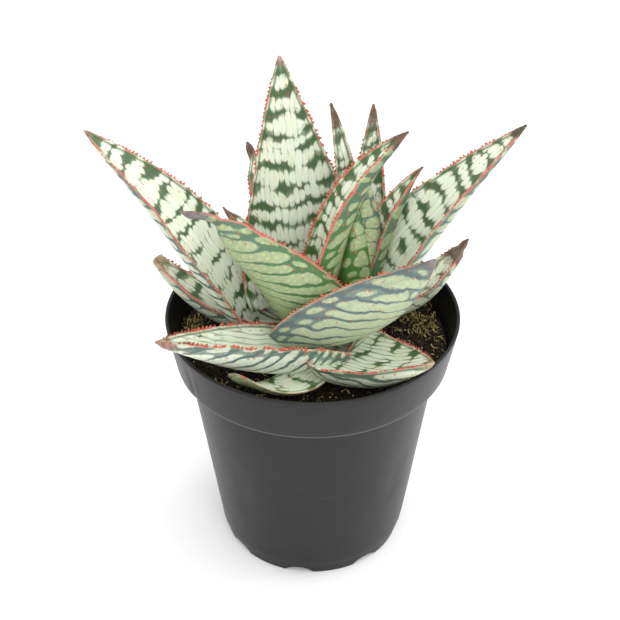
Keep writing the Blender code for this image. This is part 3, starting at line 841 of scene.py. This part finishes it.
def make_pot(sides, colours):
    """The moulded pot: a fine turned wall with its old fold, cut by its foot arches and drain holes."""
    profile = pot_profile()
    points, faces = [(0.0, 0.0, profile[0][1])], []
    for k in range(sides):
        degrees = 360 * k / sides
        for radius, height in profile[1:-1]:
            if radius > FOOT_RADIUS and height > FOOT_HEIGHT + 1:
                radius -= dent(degrees, height)
            points.append(polar(radius, degrees, height))
    points.append((0.0, 0.0, profile[-1][1]))
    ring = len(profile) - 2
    for k in range(sides):
        here, after = 1 + k * ring, 1 + (k + 1) % sides * ring
        faces.append((0, after, here))
        faces += [(here + i, after + i, after + i + 1, here + i + 1) for i in range(ring - 1)]
        faces.append((here + ring - 1, after + ring - 1, len(points) - 1))
    pot = mesh_object("moulded_pot", points, faces, [pot_finish(colours)])
    cutters = pot_cutters()
    for cutter in cutters:
        hole = pot.modifiers.new("hole", "BOOLEAN")
        hole.operation = "DIFFERENCE"
        hole.solver = "MANIFOLD"
        hole.object = cutter
    apply_nodes(pot)
    for cutter in cutters:
        bpy.data.objects.remove(cutter)
    pot.data.shade_smooth()
    pot.data.set_sharp_from_angle(angle=SHARP_ANGLE)
    settle(pot, "pot_plastic", "pot")


def soil_bumps():
    """The same clods and dips as in the soil's solid: x, y, size and rise of each."""
    random = np.random.default_rng(SOIL_SEED)
    bumps = []
    for _ in range(SOIL_BUMPS):
        radius = SOIL_BUMP_REACH * np.sqrt(random.uniform(SOIL_BUMP_INNER ** 2, 1))
        angle = random.uniform(0, 2 * pi)
        rise = random.uniform(*SOIL_BUMP_RISE)
        bumps.append((radius * cos(angle), radius * sin(angle), random.uniform(*SOIL_BUMP_SIZE), rise))
    return bumps


def mound(x, y, middle_x, middle_y, size):
    """The height at a place of a rounded mound that is 1 high in its middle."""
    return np.exp(-((x - middle_x) ** 2 + (y - middle_y) ** 2) / size ** 2)


def soil_height(x, y, bumps):
    height = SOIL_LEVEL
    for bump_x, bump_y, size, rise in bumps:
        height += rise * mound(x, y, bump_x, bump_y, size)
    for pitch, rise in SOIL_BREAKS:
        height += rise * noise.noise(Vector((x / pitch, y / pitch, pitch)))
    return height


def make_soil(rings, sides, colours):
    """The soil's solid with a finely broken top. Its moss and open_top attributes say where litter lies."""
    bumps = soil_bumps()
    ledge = POT_HEIGHT - BAND_HEIGHT
    side = [
        (FOOT_RADIUS - WALL, SOIL_FLOOR),
        (NECK_RADIUS - WALL - SOIL_GAP, ledge),
        (band_radius(ledge + WALL) - WALL - SOIL_GAP, ledge + WALL + SOIL_GAP),
    ]
    hole = STEM_PROFILE[STEM_NECK][1] + SOIL_GAP
    edge = band_radius(SOIL_LEVEL) - WALL - SOIL_GAP
    middle = Vector(STEM_FOOT).to_2d().to_3d()
    points = []
    for radius, height in side:
        points += [polar(radius, 360 * k / sides, height) for k in range(sides)]
    for ring in range(rings + 1):
        for k in range(sides):
            outer = polar(edge, 360 * k / sides, 0)
            at = outer.lerp(polar(hole, 360 * k / sides, 0) + middle, ring / rings)
            level = SOIL_LEVEL if ring in (0, rings) else soil_height(at.x, at.y, bumps)
            points.append((at.x, at.y, level))
    points += [(x, y, STEM_FOOT[2] - SOIL_GAP) for x, y, _ in points[-sides:]]
    faces = tube_faces(len(points) // sides, sides)
    for start in (0, len(points) - sides):
        centre = len(points)
        points.append(tuple(np.mean([tuple(p) for p in points[start:start + sides]], axis=0)))
        faces += [(start + (k + 1) % sides, start + k, centre) for k in range(sides)]
    soil = mesh_object("peat_soil", points, faces, [soil_finish(colours)])
    moss = np.zeros(len(points), np.float32)
    open_top = np.zeros(len(points), np.float32)
    for index in range(len(side) * sides, (len(side) + rings + 1) * sides):
        x, y = points[index][:2]
        from_axis = Vector((x, y)).length
        open_top[index] = 1.0 if hole + BARE_BY_STEM < from_axis < edge - BARE_BY_WALL else 0.0
        for patch_x, patch_y, size, share in MOSS_PATCHES:
            moss[index] += share * mound(x, y, patch_x, patch_y, size)
    set_attribute(soil, "moss", moss * open_top)
    set_attribute(soil, "open_top", open_top)
    return soil


def litter_tree():
    """Scatters one small shape over a surface, where the named attribute says, lying at random."""
    tree, graph, wires, leave = new_geometry_tree("litter", (
        ("Density", "Float"), ("Where", "String"), ("Shape", "Object"), ("Smallest", "Vector"),
        ("Largest", "Vector"), ("Tilt", "Float"), ("Lift", "Float"), ("Seed", "Int"), ("Finish", "Material"),
    ))
    density = graph.stored(wires["Where"]) * wires["Density"]
    points = graph.scatter(wires["Geometry"], density, wires["Seed"])
    shape = graph.node("GeometryNodeObjectInfo", {}, {"Object": wires["Shape"]}).other("Geometry")
    tilt, back_tilt = wires["Tilt"], 0 - wires["Tilt"]
    lowest, highest = graph.vector(back_tilt, back_tilt, 0.0), graph.vector(tilt, tilt, 2 * pi)
    turn = graph.random_vector(lowest, highest, wires["Seed"] + 1)
    rotation = graph.node("FunctionNodeEulerToRotation", {}, (turn,))
    size = graph.random_vector(wires["Smallest"], wires["Largest"], wires["Seed"] + 2)
    lift = graph.vector(0.0, 0.0, wires["Lift"])
    raised = graph.node("GeometryNodeSetPosition", {}, {"Geometry": points, "Offset": lift})
    placed = graph.node("GeometryNodeInstanceOnPoints", {},
                        {"Points": raised, "Instance": shape, "Rotation": rotation, "Scale": size})
    real = graph.node("GeometryNodeRealizeInstances", {}, {"Geometry": placed})
    coated = graph.node("GeometryNodeSetMaterial", {}, {"Geometry": real, "Material": wires["Finish"]})
    graph.feed(leave, coated)
    return tree


def seed_shape(name, build):
    """A hidden small shape, in metres, for the litter to be made of."""
    shape = bmesh.new()
    build(shape)
    bmesh.ops.recalc_face_normals(shape, faces=shape.faces)
    mesh = mesh_of(name, shape)
    mesh.shade_smooth()
    made = add_object(name, mesh)
    made.hide_render = True
    return made


def build_crumb(shape):
    bmesh.ops.create_icosphere(shape, subdivisions=1, radius=MM)
    for vert in shape.verts:
        vert.co *= 1 + 0.5 * noise.noise(vert.co / MM * 1.7)


def build_strand(shape):
    """A thin crooked strand about 10 mm long, with three sides."""
    rings = []
    for k in range(7):
        t = k / 6
        centre = Vector((10 * t - 5, 2.2 * sin(pi * t) + 0.7 * sin(9 * t), 1.6 * sin(pi * t * 1.3))) * MM
        radius = (0.26 - 0.16 * t) * MM
        rings.append([shape.verts.new(centre + Vector((0, cos(a), sin(a))) * radius)
                      for a in (0, 2 * pi / 3, 4 * pi / 3)])
    for here, after in zip(rings, rings[1:]):
        for k in range(3):
            shape.faces.new((here[k], here[(k + 1) % 3], after[(k + 1) % 3], after[k]))
    shape.faces.new(rings[0][::-1])
    shape.faces.new(rings[-1])


def make_litter(soil, settings, colours):
    """What lies on the soil: crumbs of peat, straw and moss, and a little pale grit.

    Each kind has a name, a shape, the attribute that says where it lies, how many there are for each square
    millimetre, its smallest and largest scale, how far it tilts, how far it is raised, and its finish.
    """
    crumb, strand = seed_shape("crumb_shape", build_crumb), seed_shape("strand_shape", build_strand)
    tree = litter_tree()
    kinds = (
        ("peat_crumbs", crumb, "open_top", 0.22, (0.35, 0.35, 0.3), (1.3, 1.1, 0.8), 1.5, 0.0,
         crumb_finish(colours)),
        ("moss_strands", strand, "moss", 0.3, (0.12, 0.6, 0.6), (0.45, 1.1, 1.6), 0.9, LITTER_LIFT,
         straw_finish(colours)),
        ("loose_straw", strand, "open_top", 0.008, (0.2, 0.4, 0.6), (0.6, 0.9, 1.0), 0.35, LITTER_LIFT,
         straw_finish(colours)),
        ("pale_grit", crumb, "open_top", 0.012, (0.2, 0.2, 0.2), (0.5, 0.4, 0.35), 1.5, LITTER_LIFT,
         grit_finish(colours)),
    )
    for number, (name, shape, where, density, smallest, largest, tilt, lift, look) in enumerate(kinds):
        piece = add_object(name, soil.data.copy())
        density = density * MM2_IN_M2 * settings.litter
        add_tree(piece, tree, {"Density": density, "Where": where, "Shape": shape,
                               "Smallest": smallest, "Largest": largest, "Tilt": tilt, "Lift": lift * MM,
                               "Seed": settings.seed + number * 10, "Finish": look})
        apply_nodes(piece)
        settle(piece, "soil")
    for shape in (crumb, strand):
        bpy.data.objects.remove(shape)
    for name in ("moss", "open_top"):
        soil.data.attributes.remove(soil.data.attributes[name])


def make_stem(colours):
    """The short stem, turned round its leaning middle line, with a ridge at each old leaf's scar."""
    heights = [h for h, _ in STEM_PROFILE]
    radii = [r for _, r in STEM_PROFILE]
    points = []
    for step in range(STEM_STEPS + 1):
        height = heights[-1] * step / STEM_STEPS
        above = max(height - heights[STEM_NECK], 0)
        centre = Vector((STEM_FOOT[0] + STEM_LEAN[0] * above, STEM_FOOT[1] + STEM_LEAN[1] * above,
                         STEM_FOOT[2] + height))
        radius = np.interp(height, heights, radii) - SCAR_DEPTH * abs(sin(height))
        points += [centre + polar(radius, 360 * k / STEM_SIDES, 0) for k in range(STEM_SIDES)]
    faces = tube_faces(STEM_STEPS + 1, STEM_SIDES)
    faces += [tuple(range(STEM_SIDES)), tuple(range(len(points) - STEM_SIDES, len(points)))]
    settle(mesh_object("leaf_stem", points, faces, [stem_finish(colours)]), "stem", "stem")


def spine(leaf, t):
    """Place and direction on the leaf's middle line, from t = 0 at the stem to 1 at the tip."""
    foot, tip = Vector(leaf.foot), Vector(leaf.tip)
    azimuth, rise, reach = leaf.launch
    bend = foot + polar(cos(radians(rise)), azimuth, sin(radians(rise))) * reach
    place = foot * (1 - t) ** 2 + bend * (2 * t * (1 - t)) + tip * t ** 2
    along = (bend - foot) * (1 - t) + (tip - bend) * t
    start, *push = leaf.bow
    if t > start:
        place += Vector(push) * sin(pi * (t - start) / (1 - start)) ** 2
    return place, along.normalized()


def lengths_of(leaf):
    """Distance from the foot at even steps along the middle line."""
    places = [spine(leaf, k / SPINE_STEPS)[0] for k in range(SPINE_STEPS + 1)]
    return np.cumsum([0.0] + [(b - a).length for a, b in zip(places, places[1:])])


def half_width(leaf, t, to_tip):
    """Half of the leaf's width: a neck at the stem, a shoulder, a long taper, and any finger at the tip."""
    t = min(max(t, 0), 1)
    swell = leaf.neck + (1 - leaf.neck) * sin(pi / 2 * min(t / leaf.shoulder, 1))
    half = leaf.width / 2 * swell * (1 - t ** leaf.taper)
    if leaf.finger:
        length, narrow = leaf.finger
        half = min(half, narrow * sqrt(min(to_tip / FINGER_END, 1)) + max(to_tip - length, 0) * FINGER_SPREAD)
    return max(half, TIP_HALF_WIDTH)


def thickness(leaf, t, u, half):
    """Thickness at u across the leaf, from -1 to 1: fleshy in the middle and thin at both edges."""
    t = min(max(t, 0), 1)
    swell = FOOT_FLESH + (1 - FOOT_FLESH) * min(t / FULL_FLESH, 1)
    middle = TIP_THICKNESS + (leaf.thick - TIP_THICKNESS) * swell * (1 - t ** FLESH_POWER)
    middle = min(middle, half * TIP_FLESH + LEAST_FLESH)
    edge = min(EDGE_THICKNESS, middle)
    return edge + (middle - edge) * (1 - abs(u) ** FLESH_POWER)


def cross_section(leaf, t, half):
    """The channel's frame at t: middle point, sideways, up, the way along, half its arc and its radius."""
    place, along = spine(leaf, t)
    side = polar(1, leaf.facing + 90, 0)
    side = (side - along * side.dot(along)).normalized()
    side = Matrix.Rotation(radians(leaf.roll[0] * (1 - t) + leaf.roll[1] * t), 3, along) @ side
    arc = radians(leaf.wrap[0] * (1 - t) + leaf.wrap[1] * t) / 2
    return place, side, along.cross(side), along, arc, half / arc


def ripple(number, along, u):
    """A slow unevenness of the flesh and of the edges, in millimetres."""
    slow = noise.noise(Vector((along * 0.045, u * 1.2, number * 7.3))) * FLESH_RIPPLE
    edges = noise.noise(Vector((along * 0.11, 5.0 * (u > 0), number * 3.1))) * EDGE_RIPPLE * abs(u) ** 6
    return slow + edges


def leaf_ring(leaf, number, t, along_mm, to_tip, shrink):
    """One ring of points round the leaf, and for each its place across, edge, side, outward and rim flag."""
    half = half_width(leaf, t, to_tip)
    place, side, up, along, arc, radius = cross_section(leaf, t, half)
    upper, lower = [], []
    for j in range(COLUMNS + 1):
        u = 2 * j / COLUMNS - 1
        angle = u * arc * leaf.stretch[u < 0]
        out = side * sin(angle) - up * cos(angle)
        curl = (max(abs(u) - LIP_START, 0) / (1 - LIP_START)) ** 2
        lift = leaf.lip[u < 0] * curl * min(half / LIP_FULL_HALF, 1)
        uneven = ripple(number, along_mm, u) * min(to_tip / STILL_TIP, 1)
        at = place + up * radius + out * (radius + uneven - lift)
        upper.append((at, u, out))
        lower.append((at + out * thickness(leaf, t, u, half), u, out))
    rows = []

    def add(point, u, face, outward, rim):
        rows.append((point, u * half, (1 - abs(u)) * half, face, outward, rim))

    def add_rim(above, below, u):
        angle = u * arc * leaf.stretch[u < 0]
        outward = (side * cos(angle) + up * sin(angle)) * u
        centre, reach = (above + below) / 2, (above - below).length / 2
        for k in range(1, RIM_POINTS + 1):
            turn = pi * k / (RIM_POINTS + 1)
            first, last = (above, below) if u > 0 else (below, above)
            point = centre + (first - last) / 2 * cos(turn) + outward * reach * sin(turn) * RIM_BULGE
            add(point, u, 0.5, outward, k == (RIM_POINTS + 1) // 2)

    for point, u, out in upper:
        add(point, u, 1.0, -out, False)
    add_rim(upper[-1][0], lower[-1][0], 1.0)
    for point, u, out in reversed(lower):
        add(point, u, 0.0, out, False)
    add_rim(upper[0][0], lower[0][0], -1.0)
    if shrink < 1:
        centre = sum((row[0] for row in rows), Vector()) / len(rows)
        rows = [(centre + (row[0] - centre) * shrink, *row[1:5], False) for row in rows]
    return rows, along


def leaf_shell(leaf, number):
    """The leaf's closed skin: its points, faces and what the materials and teeth need at each point."""
    lengths = lengths_of(leaf)
    total = lengths[-1]
    stations = ceil(total * leaf.worn / STATION_PITCH)
    points, values = [], []
    ring = 2 * (COLUMNS + 1 + RIM_POINTS)
    runs = [(leaf.worn * i / stations, 1.0, 0.0) for i in range(stations)]
    last = leaf.worn * (stations - 1) / stations
    for k in range(1, CAP_RINGS + 1):
        angle = pi / 2 * k / (CAP_RINGS + 0.3)
        runs.append((last, cos(angle), sin(angle)))
    for t, shrink, push in runs:
        along_mm = np.interp(t, np.linspace(0, 1, SPINE_STEPS + 1), lengths)
        to_tip = max(total * leaf.worn - along_mm, 0.05)
        rows, along = leaf_ring(leaf, number, t, along_mm, to_tip, shrink)
        for point, across, edge, face, outward, rim in rows:
            points.append(point + along * push * STATION_PITCH)
            values.append((across, along_mm, edge, face, to_tip, *outward, rim))
    faces = tube_faces(len(runs), ring)
    for start in (0, (len(runs) - 1) * ring):
        strip = [(start + k, start + ring - 1 - k) for k in range(ring // 2)]
        faces += [(a, c, d, b) for (a, b), (c, d) in zip(strip, strip[1:])]
    return points, faces, np.array(values)


def teeth_tree():
    """Grows teeth along a leaf's edges and raised spots near them, and joins them to the leaf."""
    tree, graph, wires, leave = new_geometry_tree("leaf_teeth", (
        ("Spacing", "Float"), ("Smallest", "Vector"), ("Largest", "Vector"), ("Spots", "Float"),
        ("Seed", "Int"), ("Finish", "Material"),
    ))
    leaf, seed = wires["Geometry"], wires["Seed"]

    def grow(points, shape, inputs):
        """A copy of the shape at each point, marked as a tooth."""
        marked = graph.node("GeometryNodeStoreNamedAttribute", {"data_type": "BOOLEAN", "domain": "POINT"},
                            {"Geometry": shape, "Name": "tooth", "Value": True})
        return graph.node("GeometryNodeInstanceOnPoints", {},
                          {"Points": points, "Instance": marked, **inputs})

    rim = graph.stored("rim", "BOOLEAN")
    curves = graph.node("GeometryNodeMeshToCurve", {}, {"Mesh": leaf, "Selection": rim})
    points = graph.node("GeometryNodeCurveToPoints", {"mode": "LENGTH"},
                        {"Curve": curves, "Length": wires["Spacing"]})
    keep = graph.node("FunctionNodeRandomValue", {"data_type": "BOOLEAN"},
                      {"Probability": TOOTH_SHARE, "Seed": seed + 1})
    size = graph.random_vector(wires["Smallest"], wires["Largest"], seed)
    cone = graph.node("GeometryNodeMeshCone", {}, TOOTH_CONE)
    cone = graph.node("GeometryNodeTransform", {}, {"Geometry": cone, "Translation": TOOTH_ROOT})
    teeth = grow(points, cone, {
        "Selection": keep,
        "Rotation": graph.stand(graph.stored("outward", "FLOAT_VECTOR"), points.other("Tangent")),
        "Scale": graph.scaled(size, graph.stored("vigour")),
    })
    scatter = graph.scatter(leaf, graph.stored("spots") * wires["Spots"], seed)
    bead = graph.node("GeometryNodeMeshIcoSphere", {}, {"Radius": MM, "Subdivisions": 1})
    beads = grow(scatter, bead, {
        "Rotation": graph.stand(scatter.other("Normal"), graph.stored("way", "FLOAT_VECTOR")),
        "Scale": graph.random_vector(*BEAD_SIZES, seed + 2),
    })
    grown = graph.node("GeometryNodeJoinGeometry", {}, ([leaf, teeth, beads],))
    real = graph.node("GeometryNodeRealizeInstances", {}, {"Geometry": grown})
    tooth = graph.stored("tooth", "BOOLEAN")
    graph.feed(leave, graph.node("GeometryNodeSetMaterial", {},
                                 {"Geometry": real, "Selection": tooth, "Material": wires["Finish"]}))
    return tree


def make_leaf(leaf, number, settings, tree, skin, tooth):
    """One leaf with its teeth and spots, in the place of its solid."""
    points, faces, values = leaf_shell(leaf, number)
    piece = mesh_object(leaf.name + "_blade", points, faces, [skin, tooth])
    across, along, edge, face, to_tip = values[:, :5].T
    full = np.ones_like(along)
    way = (Vector(leaf.tip) - Vector(leaf.foot)).normalized()
    half = edge + abs(across)
    young = np.clip(along / YOUNG_REACH, 0, 1)
    near = np.clip(1 - (edge - 1.2) / 6, 0, 1) * (edge > 1.0)
    tip_side = np.clip(1.5 - to_tip / 30, 0.12, 1)
    for_finish = {
        "blade": np.stack([across, along, edge], 1),
        "kind": np.stack([face, full * number * SEED_STEP, to_tip], 1),
        "tone": np.outer(full, (leaf.fresh, leaf.dry, leaf.pitch)),
        "style": np.outer(full, (leaf.band, leaf.seam, leaf.coral)),
        "back": np.outer(full, leaf.back),
        "tip": np.outer(full, TIP_SHADES[leaf.shade]),
    }
    for_teeth = {
        "outward": values[:, 5:8],
        "way": np.outer(full, way),
        "vigour": np.clip(half / 5, 0.25, 1) * young * leaf.thorn * MM,
        "spots": near * tip_side * young,
        "rim": values[:, 8] > 0,
    }
    for name, each in {**for_finish, **for_teeth}.items():
        set_attribute(piece, name, each)
    long, high = settings.tooth_length / MM, settings.tooth_height / MM
    add_tree(piece, tree, {"Spacing": settings.tooth_spacing, "Smallest": (long * 0.5, 0.45, high * 0.45),
                           "Largest": (long * 1.2, 0.75, high), "Spots": settings.spots * CM2_IN_M2,
                           "Seed": number * 5, "Finish": tooth})
    apply_nodes(piece)
    for name in (*for_teeth, "tooth"):
        if name in piece.data.attributes:
            piece.data.attributes.remove(piece.data.attributes[name])
    piece.data.shade_smooth()
    settle(piece, "leaf", leaf.name)


def colour_property(name, description, default):
    return FloatVectorProperty(name=name, description=description, subtype="COLOR", size=3,
                               min=0, max=1, default=default)


class AloeColours(bpy.types.PropertyGroup):
    """The colours of every finish."""

    cream: colour_property("Cream", "Lightest part of a leaf's inner face", (0.77, 0.81, 0.7))
    pale_green: colour_property("Pale green", "Streaks in the cream lobes", (0.6, 0.68, 0.5))
    grey_green: colour_property("Grey green", "Seams between the lobes", (0.36, 0.46, 0.28))
    yellow_green: colour_property("Yellow green", "Flecks in the lobes and bars", (0.5, 0.56, 0.18))
    band: colour_property("Band", "Dark bands of the inner face", (0.065, 0.115, 0.055))
    vivid: colour_property("Vivid green", "Dark parts of young leaves", (0.05, 0.16, 0.015))
    slate: colour_property("Slate", "Dark parts of the outer face", (0.1, 0.145, 0.15))
    under_pale: colour_property("Outer pale", "Bars of the outer face", (0.37, 0.42, 0.28))
    under_green: colour_property("Outer green", "Streaks in those bars, and the stem", (0.26, 0.34, 0.16))
    coral: colour_property("Coral", "Teeth and edges", (0.52, 0.165, 0.12))
    red: colour_property("Red", "Blotches on the teeth", (0.5, 0.09, 0.055))
    spot: colour_property("Spot", "Small orange-red spots on both faces", (0.6, 0.13, 0.05))
    rim_pale: colour_property("Pale rim", "Edge between its coral dashes", (0.5, 0.42, 0.25))
    thorn: colour_property("Thorn", "Teeth on dried tips, and scars on the stem", (0.22, 0.06, 0.03))
    tip_stain: colour_property("Tip stain", "Dark stain on dried tips", (0.09, 0.05, 0.035))
    pot_dark: colour_property("Pot dark", "Pot's plastic", (0.007, 0.007, 0.007))
    pot_light: colour_property("Pot light", "Paler clouds in the plastic", (0.01, 0.01, 0.0095))
    pot_foot: colour_property("Pot foot", "Foot below the wall", (0.012, 0.012, 0.012))
    # Dust and scuffs on the pot, and also its painted highlight line under the band
    dust_and_highlight: colour_property("Dust", "Dust and scuffs on the pot", (0.3, 0.29, 0.27))
    peat_dark: colour_property("Dark peat", "Moist soil", (0.009, 0.007, 0.005))
    peat_brown: colour_property("Brown peat", "Dry crumbs", (0.05, 0.034, 0.02))
    fibre: colour_property("Fibre", "Fibres in the peat", (0.22, 0.14, 0.06))
    moss: colour_property("Moss", "Olive strands", (0.2, 0.19, 0.05))
    straw: colour_property("Straw", "Straw strands, and some of the grains", (0.8, 0.66, 0.28))
    grit: colour_property("Grit", "Pale grains", (0.7, 0.68, 0.55))


class AloePot(bpy.types.PropertyGroup):
    """How finely the pot is turned."""

    sides: IntProperty(name="Sides", description="Faces round the pot", default=224, min=56, max=512)


class AloeSoil(bpy.types.PropertyGroup):
    """The soil's top and what lies on it."""

    rings: IntProperty(name="Rings", description="Rings of faces across the soil", default=84, min=8)
    sides: IntProperty(name="Sides", description="Faces round the soil", default=256, min=40)
    litter: FloatProperty(name="Litter", description="How thick the litter lies", default=1.0, min=0)
    seed: IntProperty(name="Seed", description="Draw of the litter's places", default=3)


class AloeLeaves(bpy.types.PropertyGroup):
    """The teeth and spots of the leaves."""

    tooth_spacing: FloatProperty(name="Tooth spacing", description="Distance between teeth",
                                 default=0.0017, unit="LENGTH")
    tooth_height: FloatProperty(name="Tooth height", description="Height of the tallest teeth",
                                default=0.0013, unit="LENGTH")
    tooth_length: FloatProperty(name="Tooth length", description="Length of a tooth along the edge",
                                default=0.0018, unit="LENGTH")
    spots: FloatProperty(name="Spots", description="Raised spots for each square centimetre near an edge",
                         default=4.0, min=0)


class AloeStage(bpy.types.PropertyGroup):
    """The floor, the lights and the camera."""

    distance: FloatProperty(name="Camera distance", description="How far in front of the pot's axis",
                            default=0.496, unit="LENGTH")
    height: FloatProperty(name="Camera height", description="Height above the floor",
                          default=0.4653, unit="LENGTH")
    pitch: FloatProperty(name="Camera pitch", description="How far the camera looks down",
                         default=radians(35.54), subtype="ANGLE")
    lens: FloatProperty(name="Lens", description="Focal length in millimetres", default=87.1)
    daylight: FloatProperty(name="Room light", description="Strength of the even light", default=0.93)
    floor: FloatProperty(name="Floor", description="Width of the floor", default=6.0, unit="LENGTH")


class ALOE_OT_pot(bpy.types.Operator):
    """Make the moulded pot"""

    bl_idname = "aloe.pot"
    bl_label = "Pot"

    def execute(self, context):
        make_pot(context.scene.aloe_pot.sides, context.scene.aloe_colours)
        return {"FINISHED"}


class ALOE_OT_soil(bpy.types.Operator):
    """Make the soil and the litter on it"""

    bl_idname = "aloe.soil"
    bl_label = "Soil and litter"

    def execute(self, context):
        settings, colours = context.scene.aloe_soil, context.scene.aloe_colours
        soil = make_soil(settings.rings, settings.sides, colours)
        make_litter(soil, settings, colours)
        settle(soil, "soil", "soil")
        return {"FINISHED"}


class ALOE_OT_stem(bpy.types.Operator):
    """Make the short stem"""

    bl_idname = "aloe.stem"
    bl_label = "Stem"

    def execute(self, context):
        make_stem(context.scene.aloe_colours)
        return {"FINISHED"}


class ALOE_OT_leaves(bpy.types.Operator):
    """Make every leaf with its teeth"""

    bl_idname = "aloe.leaves"
    bl_label = "Leaves"

    def execute(self, context):
        colours = context.scene.aloe_colours
        skin, tooth = leaf_finish(colours), tooth_finish(colours)
        tree = teeth_tree()
        for number, leaf in enumerate(LEAVES, start=1):
            make_leaf(leaf, number, context.scene.aloe_leaves, tree, skin, tooth)
        return {"FINISHED"}


def area_light(name, place, size, power):
    """A soft square light that points at the middle of the plant."""
    lamp = bpy.data.lights.new(name, "AREA")
    lamp.shape = "SQUARE"
    lamp.size = size
    lamp.energy = power
    made = add_object(name, lamp)
    made.location = place
    made.rotation_euler = (Vector(PLANT_MIDDLE) - Vector(place)).to_track_quat("-Z", "Y").to_euler()


def make_floor(width):
    half = width / 2
    mesh = bpy.data.meshes.new("floor")
    mesh.from_pydata([(-half, -half, 0), (half, -half, 0), (half, half, 0), (-half, half, 0)], [],
                     [(0, 1, 2, 3)])
    mesh.materials.append(floor_finish())
    add_object("floor", mesh)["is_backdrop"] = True


def make_room_light(scene, strength):
    """The even white light from all round."""
    world = bpy.data.worlds.new("studio")
    world.use_nodes = True
    background = world.node_tree.nodes["Background"]
    background.inputs["Color"].default_value = (1, 1, 1, 1)
    background.inputs["Strength"].default_value = strength
    scene.world = world


def make_camera(scene, settings):
    lens = bpy.data.cameras.new("camera")
    lens.lens = settings.lens
    lens.sensor_width = SENSOR_WIDTH
    camera = add_object("camera", lens)
    camera.location = (CAMERA_SIDE, -settings.distance, settings.height)
    camera.rotation_euler = (pi / 2 - settings.pitch, 0, 0)
    scene.camera = camera


class ALOE_OT_stage(bpy.types.Operator):
    """Make the floor, the lights and the camera"""

    bl_idname = "aloe.stage"
    bl_label = "Stage"

    def execute(self, context):
        scene, settings = context.scene, context.scene.aloe_stage
        make_floor(settings.floor)
        make_room_light(scene, settings.daylight)
        for light in LIGHTS:
            area_light(*light)
        make_camera(scene, settings)
        scene.view_settings.view_transform = "Standard"
        return {"FINISHED"}


class ALOE_PT_panel(bpy.types.Panel):
    """Lists the pieces of the potted aloe"""

    bl_idname = "ALOE_PT_panel"
    bl_label = "Potted aloe"
    bl_space_type = "VIEW_3D"
    bl_region_type = "UI"
    bl_category = "Aloe"

    def draw(self, context):
        for operator in OPERATORS:
            self.layout.operator(operator.bl_idname)
        for name in SETTINGS:
            group = getattr(context.scene, name)
            box = self.layout.box()
            for key in group.__annotations__:
                box.prop(group, key)


OPERATORS = (ALOE_OT_stage, ALOE_OT_pot, ALOE_OT_soil, ALOE_OT_stem, ALOE_OT_leaves)
SETTINGS = {"aloe_colours": AloeColours, "aloe_pot": AloePot, "aloe_soil": AloeSoil,
            "aloe_leaves": AloeLeaves, "aloe_stage": AloeStage}


def register():
    for group in SETTINGS.values():
        bpy.utils.register_class(group)
    for name, group in SETTINGS.items():
        setattr(bpy.types.Scene, name, PointerProperty(type=group))
    for operator in OPERATORS:
        bpy.utils.register_class(operator)
    bpy.utils.register_class(ALOE_PT_panel)


def unregister():
    bpy.utils.unregister_class(ALOE_PT_panel)
    for operator in reversed(OPERATORS):
        bpy.utils.unregister_class(operator)
    for name, group in SETTINGS.items():
        delattr(bpy.types.Scene, name)
        bpy.utils.unregister_class(group)


def main():
    register()
    bpy.ops.aloe.stage()
    bpy.ops.aloe.pot()
    bpy.ops.aloe.soil()
    bpy.ops.aloe.stem()
    bpy.ops.aloe.leaves()
    boxes = {"cad": CAD_BOX, "visual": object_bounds()}
    {name: [list(corner) for corner in box] for name, box in boxes.items()}


if __name__ == "__main__":
    main()
